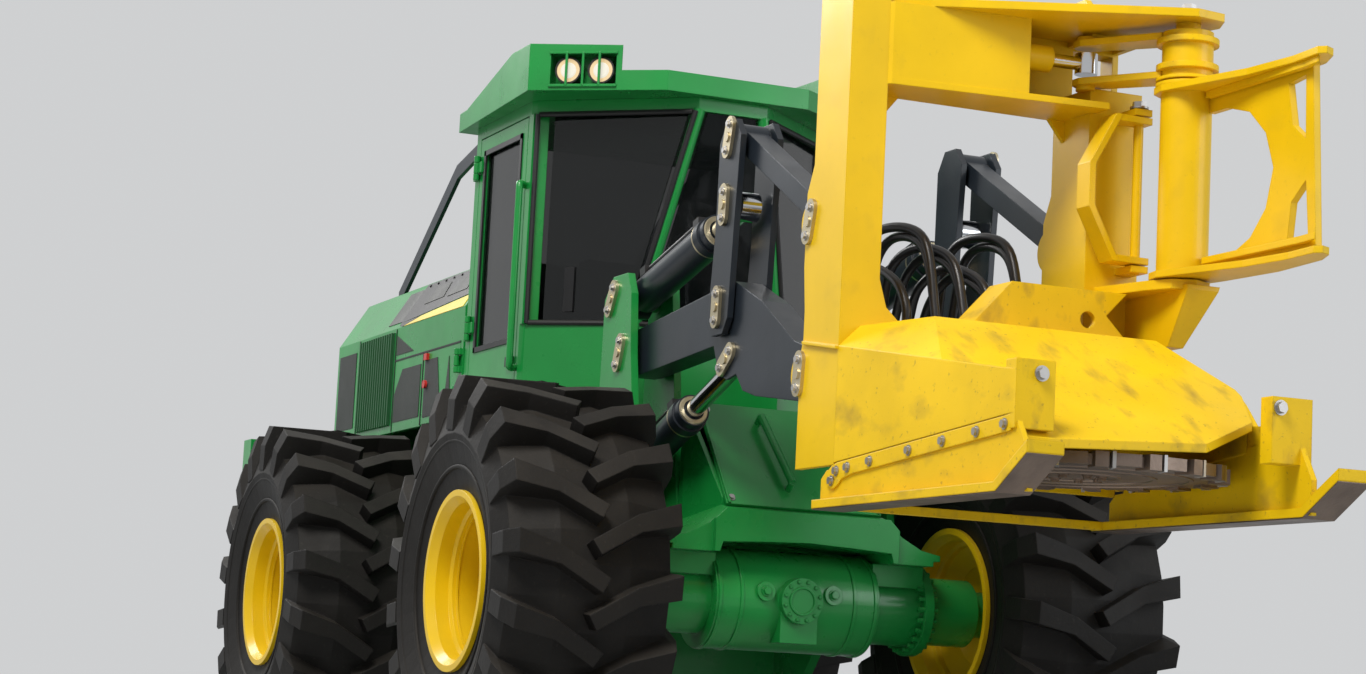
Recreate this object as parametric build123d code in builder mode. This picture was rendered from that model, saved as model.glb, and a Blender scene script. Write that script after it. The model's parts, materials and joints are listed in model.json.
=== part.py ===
from build123d import *
import os
from math import atan2, cos, degrees, hypot, radians, sin

os.makedirs("parts", exist_ok=True)

# Wheeled feller buncher with an articulated frame.
# +X is forward, +Y is the machine's left, +Z is up and the ground is at Z = 0.
# Stations are distances ahead of the front axle, so a rear station is negative. All sizes are in mm.

# Overall reach and the place of the front axle in the part's own frame
front_reach = 3090.0
rear_reach = 4380.0
front_axle_x = (rear_reach - front_reach) / 2

# Wheels
axle_height = 810.0
wheelbase = 2920.0
half_track = 1087.0
tyre_width = 714.0
rim_flange_radius = 355.0
rim_width = 632.0
rim_wall = 14.0
rim_seat_radius = 320.0
rim_well_radius = 292.0
rim_seat_width = 90.0
rim_lip = 20.0
rim_face = 25.0
tyre_crown_radius = 738.0
tyre_crown_half = 217.0
tyre_shoulder_radius = 682.0
tyre_shoulder_inset = 35.0
tyre_wall_radius = 575.0
bead_height = 6.0
lug_count = 18
lug_reach = 111.0
lug_root = 585.0
lug_bevel = 32.0
lug_bevel_radius = 705.0
seat_gap = 0.3
running_gap = 0.08
wheel_disc_inset = 150.0
wheel_disc_thickness = 26.0
spindle_radius = 95.0
hub_radius = 150.0
spindle_depth = 60.0

# Axles
axle_barrel_radius = 205.0
axle_barrel_half = 362.0
axle_pad_half = 584.0
axle_pad_top = 985.0
axle_flange_radius = 190.0
axle_flange_thickness = 40.0
axle_arm_radius = 150.0
axle_boss_radius = 92.0
axle_boss_reach = 238.0

# Centre joint between the two frames
pivot_station = -1460.0
pivot_height = 810.0
pivot_pin_radius = 60.0
knuckle_radius = 130.0
knuckle_low = 590.0
knuckle_high = 1030.0
ear_thickness = 50.0
ear_gap = 5.0
trunnion_radius = 150.0
bulkhead_rear = -2200.0
bulkhead_front = -1960.0
bulkhead_half = 405.0
bulkhead_low = 500.0
bulkhead_high = 1180.0

# Steering cylinders, low down between the centre link and the front frame
steer_height = 470.0
steer_foot = (-1850.0, 300.0)
steer_eye = (-1000.0, 290.0)
steer_barrel_radius = 50.0
steer_rod_radius = 28.0
steer_eye_radius = 48.0
steer_eye_height = 56.0
steer_lug = 25.0
steer_pin_radius = 25.0

# Lift arms, cranks, links and cylinders, all in one plane each side
boom_half = 482.5
arm_thickness = 115.0
plate_thickness = 25.0
plate_gap = 8.0
pin_radius = 40.0
tower_pin = (-382.0, 1816.0)
tower_top_pin = (-496.0, 2056.0)
crank_pin = (560.0, 1909.0)
crank_mid_pin = (585.0, 2309.0)
crank_top_pin = (605.0, 2572.0)
lift_eye = (601.0, 1704.0)
lift_foot = (-560.0, 1290.0)
head_pin = (1396.0, 1574.0)
head_top_pin = (1430.0, 2122.0)
tower_outer = 600.0
tower_inner = 365.0
tower_plate = 32.0
tilt_barrel_radius = 72.0
tilt_rod_radius = 38.0
lift_barrel_radius = 68.0
lift_rod_radius = 36.0
eye_radius = 75.0
rod_eye_radius = 58.0
link_end_radius = 58.0
eye_thickness = 80.0

# Cab
cab_floor = 1300.0
cab_sill = 2010.0
cab_head = 2960.0
cab_top = cab_head + 60.0
cab_rear = -1990.0
cab_half = 750.0
cab_wall = 40.0
cab_post = 60.0
cab_corner = (-1210.0, 735.0)
screen_foot = (-870.0, 355.0)
screen_head = (-700.0, 165.0)
glass_thickness = 8.0
roof_thickness = 90.0
roof_front = (-650.0, 340.0)
roof_corner = (-1030.0, 850.0)
roof_rear = (-2130.0, 800.0)
pod_rise = 130.0
pod_front_high = cab_top + 202.0
pod_crown_high = cab_top + 220.0
pod_rear_high = cab_top + 92.0
lamp_width = 300.0
lamp_height = 140.0
lamp_depth = 90.0
lamp_radius = 52.0
lamp_spacing = 150.0

# Engine hood
hood_front = -2020.0
hood_rear = -4150.0
hood_half = 750.0
hood_side_top = 2180.0
hood_top = 2420.0
hood_top_half = 600.0
hood_wall = 30.0
hood_low = 1650.0
door_rear = -2620.0
door_gap = 6.0
hinge_radius = 14.0
hinge_pin_radius = 7.0
hinge_stand = 18.0
hinge_length = 50.0
screen_rear = -3720.0
screen_front = -3130.0
screen_low = 1690.0
rib_width = 14.0
rib_pitch = 38.0
rib_depth = 16.0
bumper_half = 1200.0
bumper_low = 900.0
bumper_high = 1650.0

# Felling head
head_back = 1390.0
head_front = 1700.0
column_outer = 600.0
column_low = 1230.0
beam_back = 1500.0
top_plate_height = 2880.0
column_top = top_plate_height + 160.0
deck_height = 1725.0
deck_front = 2100.0
panel_fall = 0.61
skirt_front = 2850.0
skirt_front_half = 545.0
skirt_low_rear = 1238.0
skirt_low_front = 1335.0
ledge_rear = 1647.0
ledge_front = 1470.0
ledge_crown_half = 520.0
housing_wall = 25.0
saw_station = 2290.0
saw_radius = 525.0
saw_low = 1205.0
saw_thickness = 34.0
saw_spindle_radius = 60.0
saw_bearing_radius = 130.0
tooth_count = 18
skid_low = 1080.0
skid_plate = 30.0
skid_rear = 1600.0
skid_inner = 500.0
skid_outer = 630.0
skid_toe_high = 1228.0
arm_pivot = (2000.0, 600.0)
arm_low = deck_height + 265.0
arm_plate = 25.0
arm_tube_radius = 92.0
arm_pin_radius = 45.0
arm_clearance = 6.0
guard_pin = (1780.0, 540.0)
guard_low = arm_low + 52.0
lever_depth = 168.0
lever_high = top_plate_height - 2 * arm_clearance
lever_low = lever_high - lever_depth
arm_high = lever_low - 60
guard_high = arm_high - 55
beam_low = lever_low - 100


def side(y):
    """Upright plane along the machine: local x is the station, local y the height, normal towards -Y."""
    return Plane(origin=(front_axle_x, y, 0), x_dir=(1, 0, 0), z_dir=(0, -1, 0))


def level(z):
    """Level plane: local x is the station, local y is Y."""
    return Plane(origin=(front_axle_x, 0, z), x_dir=(1, 0, 0), z_dir=(0, 0, 1))


def across(station):
    """Upright plane across the machine: local x is Y, local y the height, normal forwards."""
    return Plane(origin=(front_axle_x + station, 0, 0), x_dir=(0, 1, 0), z_dir=(1, 0, 0))


def outline(points):
    """A closed face through the points, in the sketch that is open."""
    with BuildLine() as edge:
        Polyline(*points, close=True)
    make_face(edge.edges())


def plate(points, y_mid, thickness, mode=Mode.ADD):
    """Plate on its edge along the machine, drawn as (station, height)."""
    with BuildSketch(side(y_mid)) as face:
        outline(points)
    extrude(face.sketch, amount=thickness / 2, both=True, mode=mode)


def deck(points, z_low, thickness, mode=Mode.ADD):
    """Level plate drawn as (station, Y)."""
    with BuildSketch(level(z_low)) as face:
        outline(points)
    extrude(face.sketch, amount=thickness, mode=mode)


def bulkhead(points, station, thickness, mode=Mode.ADD):
    """Plate across the machine drawn as (Y, height), growing forwards."""
    with BuildSketch(across(station)) as face:
        outline(points)
    extrude(face.sketch, amount=thickness, mode=mode)


def block(stations, ys, heights, mode=Mode.ADD):
    """Box between two stations, two Y values and two heights."""
    corners = [(s, y) for s, y in ((stations[0], ys[0]), (stations[1], ys[0]),
                                   (stations[1], ys[1]), (stations[0], ys[1]))]
    deck(corners, heights[0], heights[1] - heights[0], mode)


def cross_pin(place, radius, y_low, y_high, mode=Mode.ADD):
    """Round bar across the machine at a (station, height)."""
    with BuildSketch(side(y_high)) as face:
        with Locations(place):
            Circle(radius)
    extrude(face.sketch, amount=y_high - y_low, mode=mode)


def upright_pin(place, radius, z_low, z_high, mode=Mode.ADD):
    """Round bar standing at a (station, Y)."""
    with BuildSketch(level(z_low)) as face:
        with Locations(place):
            Circle(radius)
    extrude(face.sketch, amount=z_high - z_low, mode=mode)


def bar_between(start, end, radius, mode=Mode.ADD):
    """Round bar from one (station, Y, height) to another."""
    a = Vector(start[0] + front_axle_x, start[1], start[2])
    b = Vector(end[0] + front_axle_x, end[1], end[2])
    with BuildSketch(Plane(origin=a, z_dir=b - a)) as face:
        Circle(radius)
    extrude(face.sketch, amount=(b - a).length, mode=mode)


def pane(corners, thickness, mode=Mode.ADD):
    """Plate through coplanar (station, Y, height) corners, centred on their plane."""
    points = [Vector(s + front_axle_x, y, z) for s, y, z in corners]
    normal = (points[1] - points[0]).cross(points[2] - points[0])
    sheet = Plane(origin=points[0], x_dir=points[1] - points[0], z_dir=normal)
    with BuildSketch(sheet) as face:
        outline([(p.X, p.Y) for p in (sheet.to_local_coords(point) for point in points)])
    extrude(face.sketch, amount=thickness / 2, both=True, mode=mode)


def door_knuckles(place, sign, reach, face, heights):
    """Knuckles and leaves on a door: the axis at (station, |Y|), leaves reaching along the door."""
    for height in heights:
        upright_pin((place[0], sign * place[1]), hinge_radius, height - hinge_length / 2, height + hinge_length / 2)
        block(sorted((place[0], place[0] + reach)), sorted((sign * face, sign * (place[1] - 3))),
              (height - hinge_length / 2, height + hinge_length / 2))
        upright_pin((place[0], sign * place[1]), hinge_pin_radius + running_gap,
                    height - hinge_length, height + hinge_length, Mode.SUBTRACT)


def frame_knuckles(place, sign, reach, face, heights):
    """Pins, knuckles and leaves on the frame that carries a door."""
    for height in heights:
        for low in (height - hinge_length / 2 - 32, height + hinge_length / 2 + 2):
            upright_pin((place[0], sign * place[1]), hinge_radius, low, low + 30)
            block(sorted((place[0], place[0] + reach)), sorted((sign * face, sign * (place[1] - 3))), (low, low + 30))
        upright_pin((place[0], sign * place[1]), hinge_pin_radius, height - hinge_length / 2 - 20,
                    height + hinge_length / 2 + 20)


def along(start, end, distance):
    """The (station, height) that lies a distance from start towards end."""
    length = hypot(end[0] - start[0], end[1] - start[1])
    share = distance / length
    return (start[0] + share * (end[0] - start[0]), start[1] + share * (end[1] - start[1]))


signs = (-1, 1)
sides = (("right", -1), ("left", 1))
wheel_places = (("front_right", 0.0, -1), ("front_left", 0.0, 1),
                ("rear_right", -wheelbase, -1), ("rear_left", -wheelbase, 1))

# Rims: flange, seat and well in one section, turned round the axle
rim_edge = rim_width / 2
disc_place = half_track - wheel_disc_inset
rim_section = [
    (-rim_edge, rim_flange_radius), (-rim_edge + rim_lip, rim_flange_radius), (-rim_edge + rim_lip, rim_seat_radius),
    (rim_edge - rim_lip, rim_seat_radius), (rim_edge - rim_lip, rim_flange_radius), (rim_edge, rim_flange_radius),
    (rim_edge, rim_flange_radius - rim_face), (rim_edge - rim_lip - rim_wall, rim_seat_radius - rim_wall),
    (rim_edge - rim_seat_width, rim_seat_radius - rim_wall), (rim_edge - rim_seat_width - 10, rim_well_radius),
    (-rim_edge + rim_seat_width + 10, rim_well_radius), (-rim_edge + rim_seat_width, rim_seat_radius - rim_wall),
    (-rim_edge + rim_lip + rim_wall, rim_seat_radius - rim_wall), (-rim_edge, rim_flange_radius - rim_face),
]
disc_edge = rim_well_radius - 2
disc_section = [
    (-wheel_disc_inset, 0), (-wheel_disc_inset, hub_radius + 60), (-wheel_disc_inset - 40, disc_edge),
    (-wheel_disc_inset - 40, disc_edge + 6), (-wheel_disc_inset - 14, disc_edge + 6),
    (-wheel_disc_inset + wheel_disc_thickness, hub_radius + 60),
    (-wheel_disc_inset + wheel_disc_thickness, hub_radius),
    (-wheel_disc_inset + spindle_depth + 30, hub_radius - 20), (-wheel_disc_inset + spindle_depth + 30, 0),
]
spindle_bore = [
    (-wheel_disc_inset - 5, 0), (-wheel_disc_inset - 5, spindle_radius + running_gap),
    (-wheel_disc_inset + spindle_depth, spindle_radius + running_gap), (-wheel_disc_inset + spindle_depth, 0),
]
for place, station, sign in wheel_places:
    turn_axis = Axis((front_axle_x + station, 0, axle_height), (0, 1, 0))
    wheel_plane = Plane(origin=(front_axle_x + station, sign * half_track, axle_height),
                        x_dir=(0, sign, 0), z_dir=(1, 0, 0) if sign > 0 else (-1, 0, 0))
    with BuildPart() as rim:
        for section, mode in ((rim_section, Mode.ADD), (disc_section, Mode.ADD), (spindle_bore, Mode.SUBTRACT)):
            with BuildSketch(wheel_plane) as face:
                outline(section)
            revolve(face.sketch, axis=turn_axis, mode=mode)
    rim.part.label = "rim_" + place
    export_step(rim.part, "parts/" + rim.part.label + ".step")

# Tyres: a faceted carcass with slanted lugs, two to each pitch, staggered from side to side
tyre_half = tyre_width / 2
lug_pitch = 360 / lug_count
tyre_sectors = 2 * lug_count
quarter_pitch = radians(lug_pitch / 4)
lug_face = (axle_height - lug_reach * sin(quarter_pitch)) / cos(quarter_pitch)
# The lug as seen from outside: (distance from the tyre's middle, distance round the tyre)
lug_plan = [
    (-5, -lug_reach), (160, -14), (tyre_half, 27), (tyre_half, lug_reach), (tyre_half - lug_bevel, lug_reach),
    (150, 56), (-38, -55),
]
lug_profile = [
    (-60, lug_root), (-60, lug_face), (tyre_half - lug_bevel, lug_face), (tyre_half, lug_bevel_radius),
    (tyre_half, lug_root),
]
# Carcass sections: (distance from the tyre's middle, radius)
carcass = (
    (rim_edge - rim_lip - 1, rim_flange_radius + bead_height), (tyre_half, tyre_wall_radius),
    (tyre_half - tyre_shoulder_inset, tyre_shoulder_radius), (tyre_half - tyre_crown_half, tyre_crown_radius),
)
with BuildPart() as lug:
    with BuildSketch(Plane(origin=(0, 0, lug_root), x_dir=(0, 1, 0), z_dir=(0, 0, 1))):
        outline(lug_plan)
    extrude(amount=lug_face - lug_root)
    with BuildSketch(Plane(origin=(0, 0, 0), x_dir=(0, 1, 0), z_dir=(1, 0, 0))):
        outline(lug_profile)
    extrude(amount=2 * lug_reach, both=True, mode=Mode.INTERSECT)
far_lug = lug.part.mirror(Plane.XZ)
with BuildPart() as tyre_form:
    for distance, radius in carcass + tuple((-d, r) for d, r in reversed(carcass)):
        with BuildSketch(Plane(origin=(0, distance, 0), x_dir=(1, 0, 0), z_dir=(0, 1, 0))):
            RegularPolygon(radius, tyre_sectors, rotation=lug_pitch / 4)
    loft(ruled=True)
    with Locations(*[Location((0, 0, 0), (0, (k + 0.25) * lug_pitch, 0)) for k in range(lug_count)]):
        add(lug.part)
    with Locations(*[Location((0, 0, 0), (0, (k - 0.25) * lug_pitch, 0)) for k in range(lug_count)]):
        add(far_lug)
    with BuildSketch(Plane(origin=(0, -tyre_half, 0), x_dir=(1, 0, 0), z_dir=(0, 1, 0))):
        Circle(rim_seat_radius + seat_gap)
    extrude(amount=tyre_width, mode=Mode.SUBTRACT)
tyre_forms = {-1: tyre_form.part.mirror(Plane.XZ), 1: tyre_form.part}
for place, station, sign in wheel_places:
    with BuildPart() as tyre:
        with Locations((front_axle_x + station, sign * half_track, axle_height)):
            add(tyre_forms[sign])
    tyre.part.label = "tyre_" + place
    export_step(tyre.part, "parts/" + tyre.part.label + ".step")

# Axles: barrel, flanged arms with mounting pads, spindles
for name, station in (("front_axle", 0.0), ("rear_axle", -wheelbase)):
    with BuildPart() as axle:
        cross_pin((station, axle_height), axle_barrel_radius, -axle_barrel_half, axle_barrel_half)
        for sign in signs:
            inner = sign * (axle_barrel_half - 10)
            outer = sign * axle_pad_half
            low, high = min(inner, outer), max(inner, outer)
            cross_pin((station, axle_height), axle_arm_radius, low, high)
            block((station - 150, station + 150), (low, high), (axle_pad_top - 90, axle_pad_top))
            start, end = sorted((sign * axle_pad_half, sign * (axle_pad_half + axle_flange_thickness)))
            cross_pin((station, axle_height), axle_flange_radius, start, end)
            start, end = sorted((sign * axle_pad_half, sign * (disc_place - 80)))
            cross_pin((station, axle_height), axle_arm_radius - 10, start, end)
            start, end = sorted((sign * axle_pad_half, sign * (disc_place + spindle_depth - 5)))
            cross_pin((station, axle_height), spindle_radius, start, end)
        bar_between((station, 0, axle_height), (station + axle_boss_reach, 0, axle_height), axle_boss_radius)
        block((station + 100, station + axle_barrel_radius + 6), (-axle_boss_radius + 10, axle_boss_radius - 10),
              (axle_height - 170, axle_height))
    axle.part.label = name
    export_step(axle.part, "parts/" + axle.part.label + ".step")

# Rear frame: side plates over the rear axle, a bulkhead with the trunnion bore and a deck under the cab
frame_half = 405.0
frame_plate = 40.0
saddle_low = axle_pad_top
with BuildPart() as rear_frame:
    for sign in signs:
        plate([(bulkhead_rear, 560), (bulkhead_rear, bulkhead_high), (hood_rear, bulkhead_high), (hood_rear, 760),
               (-3500, 700), (-3230, saddle_low), (-2610, saddle_low), (-2480, 560)],
              sign * (frame_half - frame_plate / 2), frame_plate)
        block((-wheelbase - 150, -wheelbase + 150), sorted((sign * frame_half, sign * axle_pad_half)),
              (saddle_low, saddle_low + 60))
        block((-wheelbase - 150, -wheelbase + 150),
              sorted((sign * (frame_half - frame_plate), sign * frame_half)), (saddle_low, saddle_low + 60))
        block((hood_rear, hood_rear + 420), sorted((sign * frame_half, sign * hood_half)), (1100, bulkhead_high))
        block((-2160, -2060), sorted((sign * frame_half, sign * (hood_half - 40))), (1080, bulkhead_high))
    block((hood_rear, bulkhead_rear), (-frame_half + frame_plate, frame_half - frame_plate),
          (bulkhead_high - 30, bulkhead_high))
    block((hood_rear, hood_rear + 40), (-frame_half, frame_half), (760, bulkhead_high))
    block((bulkhead_rear, bulkhead_front), (-bulkhead_half, bulkhead_half), (bulkhead_low, bulkhead_high))
    with BuildSketch(across(bulkhead_rear)):
        with Locations((0, pivot_height)):
            Circle(trunnion_radius + running_gap)
    extrude(amount=bulkhead_front - bulkhead_rear, mode=Mode.SUBTRACT)
    block((bulkhead_rear, bulkhead_front - 60), (-bulkhead_half, bulkhead_half), (bulkhead_high, cab_floor))
    block((bulkhead_front - 60, -1120), (-bulkhead_half + 20, bulkhead_half - 20), (cab_floor - 55, cab_floor))
rear_frame.part.label = "rear_frame"
export_step(rear_frame.part, "parts/rear_frame.step")

# Centre link: trunnion in the rear bulkhead and a knuckle that carries the front frame's pin
with BuildPart() as centre_link:
    bar_between((bulkhead_rear + 20, 0, pivot_height), (bulkhead_front + ear_gap, 0, pivot_height), trunnion_radius)
    bar_between((bulkhead_front + ear_gap, 0, pivot_height), (bulkhead_front + 75, 0, pivot_height), 230)
    block((bulkhead_front + 70, pivot_station), (-100, 100), (knuckle_low + 60, knuckle_high - 60))
    block((bulkhead_front + ear_gap, bulkhead_front + 45), (-360, 360), (steer_height - 70, pivot_height))
    for sign in signs:
        for low in (steer_height - steer_eye_height / 2 - 2 - steer_lug, steer_height + steer_eye_height / 2 + 2):
            deck([(bulkhead_front + 45, sign * 240), (steer_foot[0] + 36, sign * 250),
                  (steer_foot[0] + 36, sign * 350), (bulkhead_front + 45, sign * 360)], low, steer_lug)
        upright_pin((steer_foot[0], sign * steer_foot[1]), steer_pin_radius,
                    steer_height - steer_eye_height / 2 - 2 - steer_lug, steer_height + steer_eye_height / 2 + 10)
    with BuildSketch(level(knuckle_low)):
        with Locations((pivot_station, 0)):
            Circle(knuckle_radius)
    extrude(amount=knuckle_high - knuckle_low)
    with BuildSketch(level(knuckle_low)):
        with Locations((pivot_station, 0)):
            Circle(pivot_pin_radius + running_gap)
    extrude(amount=knuckle_high - knuckle_low, mode=Mode.SUBTRACT)
centre_link.part.label = "centre_link"
export_step(centre_link.part, "parts/centre_link.step")

# Front frame: tongue with two ears, side plates, saddle over the axle, tapered nose, towers and cylinder feet
tongue_station = -1180.0
tongue_front = -860.0
nose_rear = -150.0
saddle_front = 270.0
cover_head = (-120.0, 1610.0)
cover_foot = (220.0, 1180.0)
cover_thickness = 14.0
nose_wall = 20.0
nose_front_half = 345.0
nose_plan = [(nose_rear, -frame_half + 5), (-110, -frame_half + 5), (205, -nose_front_half), (205, nose_front_half),
             (-110, frame_half - 5), (nose_rear, frame_half - 5)]
cover_run = Vector(cover_foot[0] - cover_head[0], cover_foot[1] - cover_head[1]).normalized()
cover_out = Vector(-cover_run.Y, cover_run.X)


def under_cover(place, depth):
    """A (station, height) on the cover's outer face, moved inwards by a depth."""
    return (place[0] - depth * cover_out.X, place[1] - depth * cover_out.Y)


bed_head = under_cover(cover_head, cover_thickness + seat_gap)
bed_foot = under_cover(cover_foot, cover_thickness + seat_gap)
with BuildPart() as front_frame:
    for low in (knuckle_low - ear_gap - ear_thickness, knuckle_high + ear_gap):
        deck([(pivot_station - 60, 125), (pivot_station, 140), (tongue_station, 220), (tongue_front, 360),
              (tongue_front, -360), (tongue_station, -220), (pivot_station, -140), (pivot_station - 60, -125)],
             low, ear_thickness)
    upright_pin((pivot_station, 0), pivot_pin_radius, knuckle_low - ear_gap - ear_thickness - 20,
                knuckle_high + ear_gap + ear_thickness + 20)
    block((tongue_station, tongue_front), (-200, 200),
          (knuckle_low - ear_gap - ear_thickness, knuckle_high + ear_gap))
    deck(nose_plan, 1110, 500)
    deck([(nose_rear - 1, -frame_half + 5 + nose_wall), (-110, -frame_half + 5 + nose_wall),
          (205 - nose_wall, -nose_front_half + nose_wall), (205 - nose_wall, nose_front_half - nose_wall),
          (-110, frame_half - 5 - nose_wall), (nose_rear - 1, frame_half - 5 - nose_wall)], 1150, 500, Mode.SUBTRACT)
    plate([bed_head, (nose_rear - 2, bed_head[1]), (nose_rear - 2, 1800), (400, 1800), (400, 1172), bed_foot],
          0, 1000, Mode.SUBTRACT)
    bulkhead([(-580, axle_pad_top), (-580, 1006), (-610, 1006), (-610, 1030), (-520, 1048), (-430, 1095),
              (-nose_front_half, 1180), (nose_front_half, 1180), (430, 1095), (520, 1048), (610, 1030), (610, 1006),
              (580, 1006), (580, axle_pad_top), (386, axle_pad_top),
              (374, 1024), (200, 1034), (0, 1042), (-200, 1034), (-374, 1024), (-386, axle_pad_top)],
             -200, saddle_front + 200)
    plate([bed_foot, (180, bed_foot[1] + 2), (180, 1230), (400, 1230), (400, 1161), (232, 1161)],
          0, 1000, Mode.SUBTRACT)
    for sign in signs:
        block((saddle_front - 25, saddle_front + 1), sorted((sign * (frame_half + 3), sign * 611)),
              (axle_pad_top - 1, 1200), Mode.SUBTRACT)
        plate([(tongue_front, 520), (tongue_front, 1150), (nose_rear, 1150), (nose_rear, axle_pad_top),
               (-330, 700), (-500, 520)], sign * (frame_half - frame_plate / 2), frame_plate)
        # tower: outer and inner plate, joined low down
        plate([(-620, 1090), (-150, 1090), (-200, 1500), (-262, 1800), (-290, 2060), (-340, 2150), (-500, 2150),
               (-590, 2060), (-600, 1700)], sign * (tower_outer - tower_plate / 2), tower_plate)
        plate([(-620, 1090), (-150, 1090), (-240, 1500), (-290, 1850), (-340, 2120), (-500, 2150),
               (-590, 2060), (-600, 1700)], sign * (tower_inner + tower_plate / 2), tower_plate)
        block((-620, -200), sorted((sign * 360, sign * tower_outer)), (1090, 1150))
        for pin in (tower_pin, tower_top_pin, lift_foot):
            start, end = sorted((sign * (tower_inner + 5), sign * (tower_outer - 5)))
            cross_pin(pin, pin_radius, start, end)
        for low in (steer_height - steer_eye_height / 2 - 4 - steer_lug, steer_height + steer_eye_height / 2 + 4):
            deck([(steer_eye[0] - 60, sign * 230), (tongue_front, sign * 200), (tongue_front, sign * 400),
                  (steer_eye[0] - 60, sign * 350)], low, steer_lug)
    block((tongue_front, nose_rear + 5), (-360, 360), (1110, 1150))
    block((-620, nose_rear + nose_wall), (-tower_inner, tower_inner), (1545, 1565))
    block((-620, -600), (-tower_inner, tower_inner), (1150, 1545))
    block((tongue_front, -800), (-frame_half, frame_half), (400, 1110))
front_frame.part.label = "front_frame"
export_step(front_frame.part, "parts/front_frame.step")

# Steering cylinders
steer_gland = 520.0
steer_neck = 80.0
steer_neck_radius = 26.0
steer_root = 285.0


def on_steer(distance, sign):
    """The (station, Y, height) on a steering cylinder's axis at a distance from its foot."""
    place = along(steer_foot, steer_eye, distance)
    return (place[0], sign * place[1], steer_height)


for name, sign in sides:
    with BuildPart() as steer_barrel:
        upright_pin((steer_foot[0], sign * steer_foot[1]), steer_eye_radius, steer_height - steer_eye_height / 2,
                    steer_height + steer_eye_height / 2)
        bar_between(on_steer(30, sign), on_steer(steer_neck + 5, sign), steer_neck_radius)
        bar_between(on_steer(steer_neck - 15, sign), on_steer(steer_gland, sign), steer_barrel_radius)
        upright_pin((steer_foot[0], sign * steer_foot[1]), steer_pin_radius + running_gap,
                    steer_height - steer_eye_height, steer_height + steer_eye_height, Mode.SUBTRACT)
        bar_between(on_steer(steer_neck, sign), on_steer(steer_gland + 1, sign),
                    steer_rod_radius + running_gap, Mode.SUBTRACT)
    steer_barrel.part.label = "steer_barrel_" + name
    export_step(steer_barrel.part, "parts/" + steer_barrel.part.label + ".step")
    with BuildPart() as steer_rod:
        bar_between(on_steer(steer_root, sign), (steer_eye[0], sign * steer_eye[1], steer_height), steer_rod_radius)
        upright_pin((steer_eye[0], sign * steer_eye[1]), steer_eye_radius, steer_height - steer_eye_height / 2,
                    steer_height + steer_eye_height / 2)
    steer_rod.part.label = "steer_rod_" + name
    export_step(steer_rod.part, "parts/" + steer_rod.part.label + ".step")

# Front cover: a sloped sheet on the nose with a turned-back top edge and a grab handle
handle_bar = 16.0
handle_stand = 45.0
with BuildPart() as front_cover:
    plate([cover_head, cover_foot, under_cover(cover_foot, cover_thickness), under_cover(cover_head, cover_thickness),
           (nose_rear, under_cover(cover_head, cover_thickness)[1]), (nose_rear, cover_head[1])],
          0, 2 * nose_front_half)
    ends = [under_cover(along(cover_head, cover_foot, d), -handle_stand) for d in (90, 450)]
    bar_between((ends[0][0], -100, ends[0][1]), (ends[1][0], -50, ends[1][1]), handle_bar)
    for place, y in zip(ends, (-100, -50)):
        foot = under_cover(place, handle_stand + 5)
        bar_between((place[0], y, place[1]), (foot[0], y, foot[1]), handle_bar - 2)
front_cover.part.label = "front_cover"
export_step(front_cover.part, "parts/front_cover.step")

# Lift arms with their cross tube
with BuildPart() as lift_arm:
    arm_side = [(-480, 1760), (-482, 1872), (-400, 1910), (450, 1990), (520, 2010), (640, 2005), (900, 1900),
                (1200, 1720), (1440, 1650), (1476, 1574), (1430, 1495), (1350, 1480), (880, 1540), (760, 1570),
                (690, 1640), (600, 1625), (520, 1660), (460, 1770), (-330, 1720), (-420, 1722)]
    for sign in signs:
        plate(arm_side, sign * boom_half, arm_thickness)
        plate([(lift_eye[0] - 190, 1560), (lift_eye[0] - 190, lift_eye[1] + 40),
               (lift_eye[0] - 90, lift_eye[1] + 100), (lift_eye[0] + 115, lift_eye[1] + 100),
               (lift_eye[0] + 115, 1560)], sign * boom_half, eye_thickness + 10, Mode.SUBTRACT)
        start, end = sorted((sign * (boom_half - 100), sign * (boom_half + 100)))
        for pin in (tower_pin, crank_pin, head_pin):
            cross_pin(pin, pin_radius + running_gap, start, end, Mode.SUBTRACT)
    cross_pin((880, 1740), 85, -boom_half + arm_thickness / 2, boom_half - arm_thickness / 2)
lift_arm.part.label = "lift_arm"
export_step(lift_arm.part, "parts/lift_arm.step")

# Cranks: twin plates each side on the lift arms, with their pins
crank_inner_face = boom_half - arm_thickness / 2 - plate_gap
crank_outer_face = boom_half + arm_thickness / 2 + plate_gap
with BuildPart() as crank:
    for sign in signs:
        for face in (crank_inner_face - plate_thickness / 2, crank_outer_face + plate_thickness / 2):
            plate([(465, 1860), (500, 2200), (505, 2560), (560, 2640), (650, 2640), (705, 2570), (680, 2250),
                   (655, 1860), (610, 1800), (510, 1800)], sign * face, plate_thickness)
        start, end = sorted((sign * (crank_inner_face - plate_thickness),
                             sign * (crank_outer_face + plate_thickness)))
        for pin in (crank_pin, crank_top_pin):
            cross_pin(pin, pin_radius, start, end)
crank.part.label = "crank"
export_step(crank.part, "parts/crank.step")

# Tilt links: flat bars from the cranks to the head
with BuildPart() as tilt_link:
    for sign in signs:
        with BuildSketch(side(sign * boom_half)):
            with Locations(crank_top_pin, head_top_pin):
                Circle(link_end_radius)
        extrude(amount=arm_thickness / 2 - 6, both=True)
        run = Vector(head_top_pin[0] - crank_top_pin[0], head_top_pin[1] - crank_top_pin[1])
        mid = ((crank_top_pin[0] + head_top_pin[0]) / 2, (crank_top_pin[1] + head_top_pin[1]) / 2)
        with BuildSketch(side(sign * boom_half)):
            with Locations(Pos(*mid) * Rot(0, 0, degrees(atan2(run.Y, run.X)))):
                Rectangle(run.length - 40, 84)
        extrude(amount=arm_thickness / 2 - 12, both=True)
        start, end = sorted((sign * (boom_half - 100), sign * (boom_half + 100)))
        cross_pin(crank_top_pin, pin_radius + running_gap, start, end, Mode.SUBTRACT)
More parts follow.
